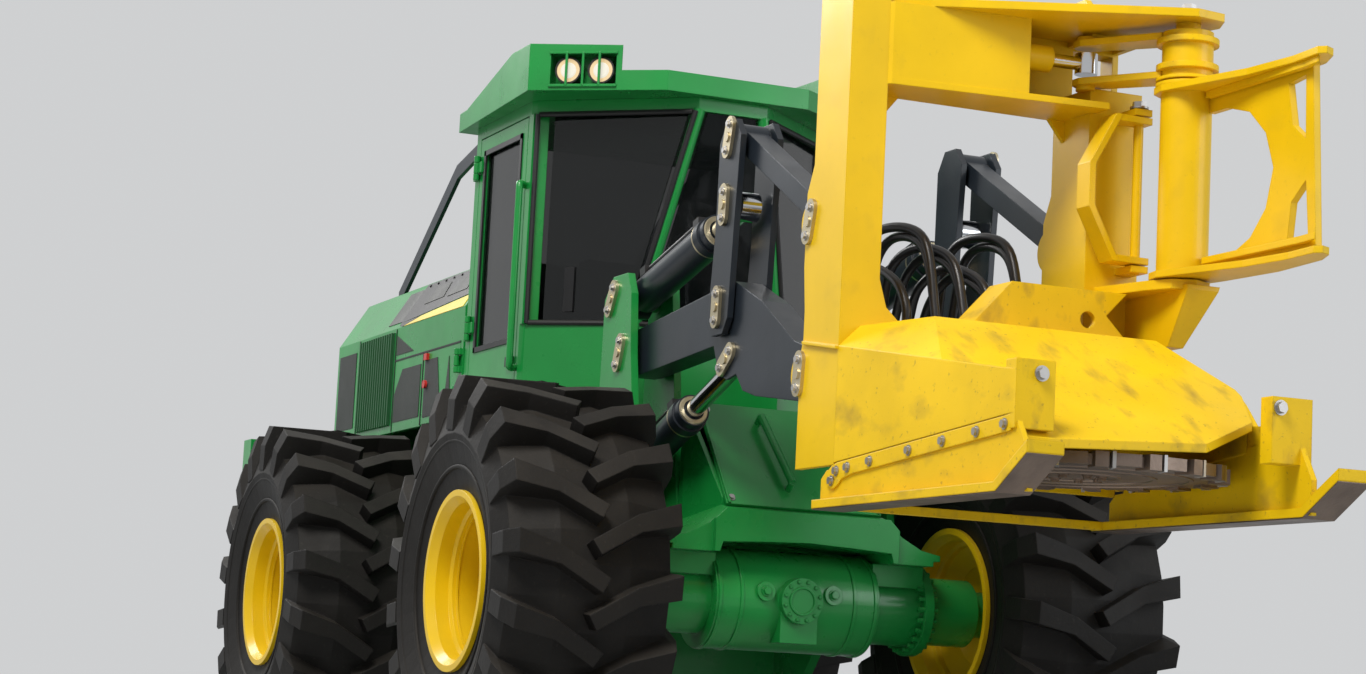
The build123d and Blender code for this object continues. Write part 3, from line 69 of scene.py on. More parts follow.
# %% A piece that collects faces and becomes one object
class Shape:
    """Collects faces of one piece, and turns them into an object that rides on a body."""

    def __init__(self, name, body, material):
        self.name, self.body, self.material = name, body, material
        self.points, self.faces, self.smooth = [], [], []

    def add(self, points, faces, smooth=False):
        first = len(self.points)
        self.points += [tuple(p) for p in points]
        self.faces += [[first + i for i in face] for face in faces]
        self.smooth += [smooth] * len(faces)

    def loft(self, rings, smooth=False):
        n = len(rings[0])
        faces = [[i * n + k, i * n + (k + 1) % n, (i + 1) * n + (k + 1) % n, (i + 1) * n + k]
                 for i in range(len(rings) - 1) for k in range(n)]
        self.add([p for ring in rings for p in ring], faces, smooth)
        self.add(rings[0], [list(range(n))[::-1]])
        self.add(rings[-1], [list(range(n))])

    def bar(self, start, end, radius, sides=16, end_radius=None):
        axis = (end - start).normalized()
        u = axis.orthogonal().normalized()
        v = axis.cross(u)
        rings = []
        for place, r in ((start, radius), (end, radius if end_radius is None else end_radius)):
            rings.append([place + r * (math.cos(a) * u + math.sin(a) * v)
                          for a in (2 * math.pi * k / sides for k in range(sides))])
        self.loft(rings, sides > 8)

    def prism(self, corners, depth):
        """A plate through coplanar corners, thickened by the vector depth."""
        self.loft([corners, [c + depth for c in corners]])

    def box(self, centre, u, v, w):
        """A block from its centre and three half-axes."""
        self.prism([centre - w + a * u + b * v for a, b in ((-1, -1), (1, -1), (1, 1), (-1, 1))], 2 * w)

    def bolt(self, place, axis, size=12.0):
        """Washer and hexagon head of a bolt, size being the radius over the corners in mm."""
        axis = axis.normalized()
        s = size / 1000
        self.bar(place - axis * 0.001, place + axis * s * 0.25, s * 1.35, 16)
        self.bar(place + axis * s * 0.25, place + axis * s * 0.95, s, 6)

    def tube(self, path, radius, sides=10):
        """Round bar along a list of points."""
        rings, u = [], None
        for i, p in enumerate(path):
            axis = (path[min(i + 1, len(path) - 1)] - path[max(i - 1, 0)]).normalized()
            u = axis.orthogonal().normalized() if u is None else (u - axis * u.dot(axis)).normalized()
            v = axis.cross(u)
            rings.append([p + radius * (math.cos(a) * u + math.sin(a) * v)
                          for a in (2 * math.pi * k / sides for k in range(sides))])
        self.loft(rings, True)

    def lathe(self, centre, axis, profile, sides=64):
        """Closed ring section, given as (distance along the axis, radius) in mm, turned round an axis."""
        u = axis.orthogonal().normalized()
        v = axis.cross(u)
        n = len(profile)
        points = [centre + axis * (d / 1000) + (r / 1000) * (math.cos(a) * u + math.sin(a) * v)
                  for a in (2 * math.pi * k / sides for k in range(sides)) for d, r in profile]
        faces = [[k * n + i, k * n + (i + 1) % n, ((k + 1) % sides) * n + (i + 1) % n, ((k + 1) % sides) * n + i]
                 for k in range(sides) for i in range(n)]
        self.add(points, faces, True)

    def make(self, angle=35.0):
        mesh = bpy.data.meshes.new(self.name)
        mesh.from_pydata(self.points, [], self.faces)
        mesh.polygons.foreach_set("use_smooth", self.smooth)
        obj = bpy.data.objects.new(self.name, mesh)
        bpy.context.scene.collection.objects.link(obj)
        mesh.materials.append(self.material)
        if any(self.smooth):
            mesh.set_sharp_from_angle(angle=math.radians(angle))
        if self.body:
            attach(obj, self.body)
        print(self.name, "on", self.body, len(mesh.polygons), "faces")
        return obj


# %% A smooth line for hoses and bent bars
def arc_path(points, steps=10):
    """A smooth line through the points, for hoses and bent bars."""
    points = [points[0] * 2 - points[1]] + list(points) + [points[-1] * 2 - points[-2]]
    path = []
    for i in range(1, len(points) - 2):
        a, b, c, d = points[i - 1:i + 3]
        for k in range(steps):
            t = k / steps
            path.append(0.5 * ((2 * b) + (c - a) * t + (2 * a - 5 * b + 4 * c - d) * t ** 2
                               + (3 * b - a - 3 * c + d) * t ** 3))
    return path + [points[-2]]


# %% [markdown]
# ## Finishes
# Machine paint is a thick gloss coat. Outdoors it gathers pale dust on the surfaces that face up, it dulls in
# patches, and it wears through at the felling head, where the work rubs on it. Painted image textures could
# show that, but they need unwrapped meshes. Noise in object space needs none and follows a piece as it moves.
# So each finish below is one recipe: two close colours mixed by a slow noise, a dust layer that follows the
# surface's slope, a fine bump, softened edges and a roughness that varies from patch to patch.

# %% The recipe of a finish
DUST = (0.36, 0.31, 0.25, 1)


def finish(name, colour, roughness=0.4, metallic=0.0, spread=0.08, dust=0.25, grain=0.15, grain_scale=90.0,
           coat=0.0, scratches=0.0, worn=(0.12, 0.10, 0.09, 1), bevel=0.0, spots=0.0, gloss=0.5):
    mat = bpy.data.materials.new(name)
    mat.use_nodes = True
    tree = mat.node_tree
    shader = tree.nodes["Principled BSDF"]
    shader.inputs["Metallic"].default_value = metallic
    shader.inputs["Specular IOR Level"].default_value = gloss
    shader.inputs["Coat Weight"].default_value = coat
    shader.inputs["Coat Roughness"].default_value = 0.12

    def node(kind, **values):
        made = tree.nodes.new(kind)
        for key, value in values.items():
            setattr(made, key, value)
        return made

    def noise(scale, detail=3.0, stretch=None):
        made = node("ShaderNodeTexNoise")
        made.inputs["Scale"].default_value = scale
        made.inputs["Detail"].default_value = detail
        if stretch:
            mapping = node("ShaderNodeMapping")
            mapping.inputs["Scale"].default_value = stretch
            mapping.inputs["Rotation"].default_value = (0.3, 0.2, 0.5)
            tree.links.new(place.outputs["Object"], mapping.inputs["Vector"])
            tree.links.new(mapping.outputs["Vector"], made.inputs["Vector"])
        else:
            tree.links.new(place.outputs["Object"], made.inputs["Vector"])
        return made.outputs["Fac"]

    def ramp(value, stops):
        made = node("ShaderNodeValToRGB")
        made.color_ramp.elements[0].position, made.color_ramp.elements[0].color = stops[0]
        made.color_ramp.elements[1].position, made.color_ramp.elements[1].color = stops[1]
        tree.links.new(value, made.inputs["Fac"])
        return made.outputs["Color"]

    def math_node(kind, a, b):
        made = node("ShaderNodeMath", operation=kind, use_clamp=True)
        for slot_index, value in ((0, a), (1, b)):
            if isinstance(value, float):
                made.inputs[slot_index].default_value = value
            else:
                tree.links.new(value, made.inputs[slot_index])
        return made.outputs[0]

    def mix(factor, a, b):
        made = node("ShaderNodeMix", data_type="RGBA")
        tree.links.new(factor, made.inputs[0])
        for slot_index, value in ((6, a), (7, b)):
            if isinstance(value, tuple):
                made.inputs[slot_index].default_value = value
            else:
                tree.links.new(value, made.inputs[slot_index])
        return made.outputs[2]

    place = node("ShaderNodeTexCoord")
    shade = [tuple(min(1.0, c * (1 + s)) for c in colour) + (1,) for s in (-spread, spread)]
    look = ramp(noise(2.3, 4.0), ((0.35, shade[0]), (0.65, shade[1])))
    if scratches:
        marks = ramp(noise(4.5, 8.0, (1.0, 2.6, 1.6)),
                     ((0.58 - 0.06 * scratches, (0, 0, 0, 1)), (0.76, (1, 1, 1, 1))))
        look = mix(math_node("MULTIPLY", marks, scratches), look, worn)
    if spots:
        chips = ramp(noise(55.0, 6.0), ((0.64, (0, 0, 0, 1)), (0.70, (1, 1, 1, 1))))
        look = mix(math_node("MULTIPLY", chips, spots), look, worn)
    if dust:
        normal = node("ShaderNodeNewGeometry")
        split = node("ShaderNodeSeparateXYZ")
        tree.links.new(normal.outputs["Normal"], split.inputs[0])
        slope = ramp(split.outputs["Z"], ((0.05, (0.12, 0.12, 0.12, 1)), (0.9, (1, 1, 1, 1))))
        patch = ramp(noise(5.0, 5.0), ((0.30, (0.25, 0.25, 0.25, 1)), (0.75, (1, 1, 1, 1))))
        look = mix(math_node("MULTIPLY", math_node("MULTIPLY", slope, patch), dust), look, DUST)
    tree.links.new(look, shader.inputs["Base Color"])
    rough = node("ShaderNodeMapRange")
    rough.inputs["To Min"].default_value = max(0.04, roughness - 0.10)
    rough.inputs["To Max"].default_value = min(1.0, roughness + 0.14)
    tree.links.new(noise(6.5, 4.0), rough.inputs["Value"])
    tree.links.new(rough.outputs["Result"], shader.inputs["Roughness"])
    bump = node("ShaderNodeBump")
    bump.inputs["Strength"].default_value = grain
    bump.inputs["Distance"].default_value = 0.002
    tree.links.new(noise(grain_scale, 3.0), bump.inputs["Height"])
    if bevel:
        edge = node("ShaderNodeBevel", samples=4)
        edge.inputs["Radius"].default_value = bevel
        tree.links.new(edge.outputs["Normal"], bump.inputs["Normal"])
    tree.links.new(bump.outputs["Normal"], shader.inputs["Normal"])
    return mat


# %% [markdown]
# The machine's own colours: a bright green over the cab, frames and axles, a warm yellow on the head and rims, a
# blue-black on the arms and cranks, and bare or plated steel on pins and rods. Tyres are a brown-black rubber
# that is grey with dust on the lugs' faces. Colours are linear values, so a bright yellow has almost no blue.

# %% Paints
green = finish("green_paint", (0.006, 0.235, 0.040), 0.28, spread=0.10, dust=0.08, grain=0.06, coat=0.22,
               bevel=0.006, gloss=0.3)
# The hood's ribbed screen gets the green paint darkened to its tone in shade, which is painted shade of its ribs.
green_in_shade = finish("green_paint_in_shade", (0.012, 0.085, 0.026), 0.45, dust=0.12, grain=0.08, gloss=0.3)
yellow = finish("head_yellow", (0.74, 0.47, 0.002), 0.38, spread=0.07, dust=0.03, grain=0.10, coat=0.08,
                scratches=0.16, worn=(0.34, 0.22, 0.03, 1), bevel=0.006, spots=0.12, gloss=0.22)
base_yellow = finish("head_yellow_scuffed", (0.76, 0.485, 0.002), 0.44, spread=0.09, dust=0.04, grain=0.16,
                     scratches=0.62, worn=(0.20, 0.12, 0.03, 1), bevel=0.006, spots=0.40, gloss=0.2)
rim_yellow = finish("rim_yellow", (0.74, 0.48, 0.003), 0.34, dust=0.06, grain=0.05, coat=0.15,
                    bevel=0.004, gloss=0.25)
dark = finish("dark_paint", (0.012, 0.017, 0.024), 0.32, spread=0.15, dust=0.08, grain=0.08, coat=0.06,
              bevel=0.005, gloss=0.26)
black = finish("black_plastic", (0.008, 0.008, 0.009), 0.42, spread=0.2, dust=0.08, grain=0.1, gloss=0.35)
rubber = finish("tyre_rubber", (0.007, 0.0062, 0.0055), 0.60, spread=0.30, dust=0.07, grain=0.5, grain_scale=60.0,
                bevel=0.008, spots=0.10, worn=(0.08, 0.07, 0.06, 1), gloss=0.22)
steel = finish("worn_steel", (0.20, 0.15, 0.12), 0.40, 0.75, spread=0.35, dust=0.1, grain=0.35, scratches=0.5,
               worn=(0.06, 0.045, 0.04, 1))
plated = finish("plated_steel", (0.52, 0.45, 0.30), 0.34, 0.9, spread=0.12, dust=0.12, grain=0.08)
bolt_steel = finish("bolt_steel", (0.42, 0.41, 0.40), 0.38, 0.9, spread=0.15, dust=0.1, grain=0.08)
chrome = finish("rod_chrome", (0.62, 0.63, 0.65), 0.10, 1.0, spread=0.03, dust=0.04, grain=0.01)
hose = finish("hose_rubber", (0.010, 0.010, 0.012), 0.30, spread=0.2, dust=0.10, grain=0.10, grain_scale=400.0)
iron = finish("engine_iron", (0.09, 0.09, 0.09), 0.6, 0.4, dust=0.3)
cloth = finish("seat_fabric", (0.020, 0.020, 0.024), 0.85, spread=0.2, dust=0.05, grain=0.7, grain_scale=500.0)
mesh_black = finish("black_mesh", (0.010, 0.014, 0.011), 0.55, spread=0.3, dust=0.12, grain=0.9, grain_scale=160.0)
stripe = finish("yellow_stripe", (0.85, 0.62, 0.02), 0.32, dust=0.08, grain=0.03, coat=0.3)
red = finish("red_latch", (0.50, 0.02, 0.015), 0.3, dust=0.05, grain=0.03)


# %% The recipe of a pane or lamp
def glass(name, tint, roughness=0.03, lit=None, alpha=0.4):
    """A pane: tinted, partly see-through, with a faint film of dust in its roughness."""
    mat = bpy.data.materials.new(name)
    mat.use_nodes = True
    tree = mat.node_tree
    shader = tree.nodes["Principled BSDF"]
    shader.inputs["Base Color"].default_value = tint + (1,)
    shader.inputs["Alpha"].default_value = alpha
    shader.inputs["Coat Weight"].default_value = 0.35
    shader.inputs["Specular IOR Level"].default_value = 0.3
    shader.inputs["Coat Roughness"].default_value = 0.02
    if lit:
        shader.inputs["Emission Color"].default_value = lit + (1,)
        shader.inputs["Emission Strength"].default_value = 0.62
    film = tree.nodes.new("ShaderNodeTexNoise")
    film.inputs["Scale"].default_value = 7.0
    place = tree.nodes.new("ShaderNodeTexCoord")
    level = tree.nodes.new("ShaderNodeMapRange")
    level.inputs["To Min"].default_value = roughness
    level.inputs["To Max"].default_value = roughness + 0.12
    tree.links.new(place.outputs["Object"], film.inputs["Vector"])
    tree.links.new(film.outputs["Fac"], level.inputs["Value"])
    tree.links.new(level.outputs["Result"], shader.inputs["Roughness"])
    return mat


# %% Each piece gets its finish
tinted = glass("tinted_glass", (0.004, 0.005, 0.005), alpha=0.74)
lamp_glass = glass("lamp_glass", (0.30, 0.24, 0.15), lit=(1.0, 0.72, 0.38), alpha=1.0)
lamp_bulb = glass("lamp_bulb", (0.30, 0.28, 0.24), lit=(1.0, 0.95, 0.82), alpha=1.0)
by_slot = {"green_paint": green, "dark_green_screen": green_in_shade, "head_yellow": yellow, "yellow_rim": rim_yellow,
           "dark_paint": dark, "worn_steel": steel, "rod_chrome": chrome, "tinted_glass": tinted,
           "lamp_glass": lamp_glass, "tyre_rubber": rubber, "engine_iron": iron, "seat_fabric": cloth}
by_node = {"head_base": base_yellow}
for part in frame["record"]["subparts"]:
    nodes[part["node"]].data.materials.clear()
    nodes[part["node"]].data.materials.append(by_node.get(part["node"], by_slot[part["material_slot"]]))
print(len(bpy.data.materials), "materials")

# %% [markdown]
# ## Wheels
# Each wheel is held by a ring of nuts round its hub, and the deep dish of the rim steps down where the steel is
# rolled. The tyre's side carries two low moulded rings. Rings like these could be spun from a curve. Here their
# small section is turned by a loop, which gives closed meshes that ride on the wheel and turn with it.

# %% Nuts, rim steps and tyre rings
AXLE_HIGH = 810
WHEELBASE = 2920
HALF_TRACK = 1087
WHEELS = (("front_right", 0, -1), ("front_left", 0, 1), ("rear_right", -WHEELBASE, -1), ("rear_left", -WHEELBASE, 1))
NUT_COUNT = 20
for name, station, sign in WHEELS:
    body = "wheel_" + name
    out = Vector((0, sign, 0))
    hub = at(station, sign * HALF_TRACK, AXLE_HIGH)
    nuts = Shape("wheel_nuts_" + name, body, bolt_steel)
    for k in range(NUT_COUNT):
        a = 2 * math.pi * k / NUT_COUNT
        nuts.bolt(hub + out * -0.124 + 0.180 * Vector((math.cos(a), 0, math.sin(a))), out, 15)
    nuts.make()
    steps = Shape("rim_steps_" + name, body, rim_yellow)
    for place, outer, inner in ((60, 306.5, 300), (190, 293, 286), (296, 331, 324)):
        steps.lathe(hub, out, [(place, outer), (place + 9, outer), (place + 9, inner), (place, inner)], 96)
    steps.make()
    rings = Shape("tyre_rings_" + name, body, rubber)
    for face in (1, -1):
        for distance, radius in ((323, 445), (345, 545)):
            rings.lathe(hub, out * face,
                        [(distance - 8, radius - 9), (distance + 3, radius - 6), (distance + 6, radius),
                         (distance + 4, radius + 8), (distance - 8, radius + 9)], 96)
    rings.make()

# %% [markdown]
# ## Front axle and cover
# The axle's middle shows cast bands, two filler ports, a bolted pinion cover and rows of studs where the arms meet
# the barrel. The sloped sheet in front of it is held by a bolt at each corner. These small fasteners catch light
# all round their edges, which a bump in the paint can't do, so each is a real washer and hexagon.

# %% Axle trim
STUD_COUNT = 24
for name, station, body in (("front", 0, "front"), ("rear", -WHEELBASE, "rear")):
    cast = Shape(name + "_axle_castings", body, green)
    across = Vector((0, 1, 0))
    for y in (-345, -250, 250, 345):
        cast.lathe(at(station, y, AXLE_HIGH), across, [(-9, 204), (-7, 210), (7, 210), (9, 204)], 72)
    for sign in (-1, 1):
        cast.bar(at(station + 150, sign * 150, 835), at(station + 214, sign * 150, 842), 0.040, 20)
    cast.lathe(at(station + 232, 0, AXLE_HIGH), Vector((1, 0, 0)),
               [(0, 62), (12, 58), (12, 50), (4, 46), (0, 46)], 40)
    cast.make()
    studs = Shape(name + "_axle_studs", body, bolt_steel if name == "rear" else green)
    for k in range(12):
        a = 2 * math.pi * (k + 0.5) / 12
        studs.bolt(at(station + 238, 78 * math.cos(a), AXLE_HIGH + 78 * math.sin(a)), Vector((1, 0, 0)), 7)
    for sign in (-1, 1):
        studs.bolt(at(station + 214, sign * 150, 842), Vector((1, 0, 0.1)), 17)
        for k in range(STUD_COUNT):
            a = 2 * math.pi * k / STUD_COUNT
            spoke = 0.170 * Vector((math.cos(a), 0, math.sin(a)))
            studs.bar(at(station, sign * 560, AXLE_HIGH) + spoke, at(station, sign * 645, AXLE_HIGH) + spoke,
                      0.011, 8)
    studs.make()

# %% Bolts and folded edges of the sloped cover
trim = Shape("cover_bolts", "front", bolt_steel)
slope = Vector((0.784, 0, 0.620))
for y in (-318, 318):
    for station, height in ((-98, 1582), (200, 1205)):
        trim.bolt(at(station, y, height), slope, 12)
trim.make()
lip = Shape("cover_edges", "front", green)
for sign in (-1, 1):
    lip.prism([at(-118, sign * 338, 1613), at(220, sign * 328, 1183),
               at(220, sign * 338, 1183), at(-118, sign * 348, 1613)], slope * 0.006)
lip.make()

# %% [markdown]
# ## Pins of the lift arms
# Each main pin is kept in place by an oblong plated steel plate with two bolts. The plates sit on the outer faces
# of the towers, cranks and head, and turn with the piece that they are bolted to. One table lists them by body, so
# that a plate can't be left behind when a joint moves.

# %% Pin keepers
# (name, body, |Y| of the face in mm, ((station, height, turn in degrees), ...))
keepers = (
    ("tower", "front", 600, ((-382, 1816, 70), (-496, 2056, 60))),
    ("crank", "crank", 573.5, ((560, 1909, 88), (585, 2309, 88), (605, 2572, 75))),
    ("arm", "lift_arm", 540.5, ((601, 1704, 35),)),
    ("head", "head", 600, ((1396, 1574, 85), (1430, 2122, 75))),
)
for name, body, face, places in keepers:
    plates = Shape(name + "_pin_keepers", body, plated)
    heads = Shape(name + "_keeper_bolts", body, bolt_steel)
    for sign in (-1, 1):
        out = Vector((0, sign, 0))
        for station, height, lean in places:
            u = Vector((math.cos(math.radians(lean)), 0, math.sin(math.radians(lean))))
            v = u.cross(out)
            centre = at(station, sign * face, height)
            rim = []
            for side, start in ((1, -90), (-1, 90)):
                for k in range(9):
                    a = math.radians(start + 22.5 * k)
                    rim.append(centre + u * (0.048 * side + 0.036 * math.cos(a)) + v * (0.036 * math.sin(a)))
            plates.loft([rim, [p + out * 0.014 for p in rim]])
            for side in (-1, 1):
                heads.bolt(centre + u * (0.052 * side) + out * 0.014, out, 13)
            plates.bar(centre + out * 0.013, centre + out * 0.020, 0.020, 20)
    plates.make(40)
    heads.make()

# %% [markdown]
# ## Cylinders
# A plated band shows at each gland, hard steel tubes run along the barrels, and a guard block covers each port.
# All of it is placed by its distance along the line from the foot pin to the rod's pin, as on a real cylinder.

# %% Cylinder trim
BOOM_Y = 482.5
# (name, body, foot pin, rod pin, gland's distance from the foot pin, barrel's radius)
for name, body, foot, eye, gland, radius in (("tilt", "tilt_barrels", (-496, 2056), (585, 2309), 845, 72),
                                             ("lift", "lift_barrels", (-560, 1290), (601, 1704), 760, 68)):
    run = (at(eye[0], 0, eye[1]) - at(foot[0], 0, foot[1])).normalized()
    up = Vector((-run.z, 0, run.x))
    bands = Shape(name + "_gland_bands", body, plated)
    pipes = Shape(name + "_pipes", body, black)
    for sign in (-1, 1):
        base = at(foot[0], sign * BOOM_Y, foot[1])
        for distance in (gland - 92, gland - 60):
            bands.lathe(base + run * (distance / 1000), run,
                        [(-9, radius + 1), (-9, radius + 7), (9, radius + 7), (9, radius + 1)], 48)
        bands.lathe(base + run * (gland / 1000), run, [(0, 44), (0, radius - 6), (6, radius - 10), (6, 44)], 48)
        side = Vector((0, -sign, 0))
        for lift, shift in ((radius + 12, 18), (radius + 12, -18)):
            line = [base + run * (d / 1000) + up * (lift / 1000) + side * (shift / 1000) for d in (150, gland - 130)]
            pipes.tube([line[0] - up * 0.02, line[0], line[1], line[1] - up * 0.02], 0.011, 10)
        for d in (150, gland - 130):
            pipes.box(base + run * (d / 1000) + up * ((radius + 8) / 1000), run * 0.028, side * 0.042, up * 0.018)
    bands.make()
    pipes.make()

# %% [markdown]
# ## Felling head
# A bolted flange with a rounded rear end joins each skid's web to the skirt above it, and the skids' soles are worn
# down to bare steel. The guards and the arms' pins have their own bolts. The skirts close in towards the front and
# rise, so one small function gives any place on their outer face, and the flange and its bolts follow it.

# %% Flanges, soles and bolts of the head
# The skirt's rear end and lower edge in mm, then how much it rises and closes in for each mm towards the front
SKIRT_REAR, SKIRT_LOW, SKIRT_RISE, SKIRT_CLOSE = 1700, 1238, 0.0843, 0.0478
ARM_PIN = (2000, 600)
LEVER_EYE = (1680, 370)
head_bolts = Shape("head_bolts", "head", bolt_steel)
flanges = Shape("skid_flanges", "head", base_yellow)
soles = Shape("skid_soles", "head", steel)
for sign in (-1, 1):
    along = Vector((1, -sign * SKIRT_CLOSE, 0)).normalized()
    out = Vector((sign * SKIRT_CLOSE, sign, 0)).normalized()

    def web(station, drop):
        """A place on the web's outer face, a drop below the skirt's lower edge."""
        run = station - SKIRT_REAR
        return at(station, sign * (592 - SKIRT_CLOSE * run), SKIRT_LOW + SKIRT_RISE * run - drop)

    rim = [web(2835, 3), web(1725, 3), web(1690, 8), web(1664, 22), web(1652, 44), web(1656, 70), web(1674, 88),
           web(1700, 92), web(1728, 84), web(1760, 64), web(1830, 56), web(2835, 56)]
    flanges.loft([rim, [q + out * 0.007 for q in rim]])
    for station, drop in ((1690, 62), (1722, 32), (1800, 30), (1955, 30), (2213, 30), (2428, 30), (2635, 30),
                          (2800, 30)):
        head_bolts.bolt(web(station, drop) + out * 0.007, out, 14)
    floor_line = [(1600, 1079.5), (2897, 1079.5), (3086, 1189)]
    for (s0, z0), (s1, z1) in zip(floor_line, floor_line[1:]):
        soles.prism([at(s0, sign * 502, z0), at(s1, sign * 502, z1),
                     at(s1, sign * 628, z1), at(s0, sign * 628, z0)], Vector((0, 0, -0.004)))
for s, y, z in ((2860, -455, 1462), (2860, 435, 1432)):
    head_bolts.bolt(at(s, y, z), Vector((1, 0, 0)), 19)
for s, y, z in ((1780, 540, 2622), (*ARM_PIN, 2950)):
    head_bolts.bolt(at(s, y, z), Vector((0, 0, 1)), 26)
head_bolts.make()
flanges.make()
soles.make()

# %% Washers of the harvest arm's lever, and ribs on the arm's edges
caps = Shape("arm_lever_caps", "harvest_arm", base_yellow)
for z, thick in ((2665, 14), (2686, 12), (2725, 22), (2821, 22)):
    caps.bar(at(*ARM_PIN, z), at(*ARM_PIN, z + thick), 0.112, 32)
for z in (2866, 2684):
    caps.bar(at(*LEVER_EYE, z), at(*LEVER_EYE, z + 18), 0.036, 20)
caps.make()
edges = Shape("arm_edge_ribs", "harvest_arm", yellow)
for z in (2015, 2616):
    edges.prism([at(2100, 640, z), at(2700, 640, z), at(2790, 606, z), at(2760, 606, z), at(2690, 615, z),
                 at(2100, 615, z)], Vector((0, 0, 0.024)))
edges.make()

# %% [markdown]
# The saw is a heavy disc. Each tooth is a hard square tip on a holder, and the disc's underside has turned rings and
# a ring of bolts round its spindle. Tips and holders are set by their angle, so that the whole ring stays even and
# spins with the disc.

# %% Teeth, rings and bolts of the saw
SAW_STATION = 2290
SAW_LOW = 1205
TOOTH_COUNT = 18
teeth = Shape("saw_tooth_tips", "saw_disc", bolt_steel)
for k in range(TOOTH_COUNT):
    a = 2 * math.pi * k / TOOTH_COUNT
    radial, along = Vector((math.cos(a), math.sin(a), 0)), Vector((-math.sin(a), math.cos(a), 0))
    root = at(SAW_STATION, 0, SAW_LOW + 17) + radial * 0.487
    inner, outer = root + along * 0.030, root + radial * 0.034 + along * 0.034
    teeth.prism([inner - Vector((0, 0, 0.030)), outer - Vector((0, 0, 0.027)),
                 outer + Vector((0, 0, 0.027)), inner + Vector((0, 0, 0.030))], along * 0.012)
teeth.make()
holders = Shape("saw_tooth_holders", "saw_disc", steel)
for k in range(TOOTH_COUNT):
    a = 2 * math.pi * (k + 0.5) / TOOTH_COUNT
    radial, along = Vector((math.cos(a), math.sin(a), 0)), Vector((-math.sin(a), math.cos(a), 0))
    holders.box(at(SAW_STATION, 0, SAW_LOW + 19) + radial * 0.492,
                radial * 0.020, along * 0.046, Vector((0, 0, 0.020)))
holders.make()
disc = Shape("saw_disc_rings", "saw_disc", steel)
for radius in (150, 270, 390):
    disc.lathe(at(SAW_STATION, 0, SAW_LOW), Vector((0, 0, -1)),
               [(-1, radius), (4, radius + 2), (4, radius + 16), (-1, radius + 18)], 72)
for k in range(8):
    a = 2 * math.pi * k / 8
    disc.bolt(at(SAW_STATION + 105 * math.cos(a), 105 * math.sin(a), SAW_LOW), Vector((0, 0, -1)), 15)
disc.make()

# %% [markdown]
# Hoses carry the oil from the arms to the head. They leave a manifold on the arms' cross tube, arch up behind the
# window and turn down to a manifold on the head's lower beam, long enough to follow the head as it tilts. A rigid
# tube would tear off at one end, so each hose is baked in place and rides on neither body, and its length is summed.

# %% The two manifolds
manifold = Shape("arm_manifold", "lift_arm", black)
manifold.box(at(925, 0, 1822), Vector((0.030, 0, 0)), Vector((0, 0.30, 0)), Vector((0, 0, 0.026)))
manifold.make()
plate = Shape("head_manifold", "head", black)
plate.box(at(1500, 0, 1735), Vector((0.030, 0, 0)), Vector((0, 0.30, 0)), Vector((0, 0, 0.019)))
plate.make()

# %% Hoses between the arms and the head
HOSE_COUNT = 9
for k in range(HOSE_COUNT):
    y0 = -240 + 60 * k
    y1 = -236 + 59 * ((k + 1) % HOSE_COUNT if k % 2 else k)
    rise = 1960 + 32 * ((k * 5) % 6)
    path = arc_path([at(938, y0, 1822), at(962, y0 - 6, 1880), at(1070, y0 - 24, rise),
                     at(1240, (y0 + y1) / 2 - 30, rise + 55), at(1410, y1 - 10, rise - 10), at(1490, y1, 1850),
                     at(1500, y1, 1738)], 8)
    pipe = Shape("head_hose_%d" % (k + 1), None, hose)
    pipe.tube(path, 0.018, 12)
    made = pipe.make()
    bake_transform(made)
    run = sum((b - a).length for a, b in zip(path, path[1:]))

# %% [markdown]
# ## Engine hood
# The hood's flanks are pressed doors and fixed leaves with pierced metal panels, so that the coolers can breathe.
# Its shoulder is painted black, with two vents and a yellow band below. Colour patches could be painted on one mesh.
# Thin sheets 3 mm proud of the hood keep crisp borders from close by, and each has its own material slot.

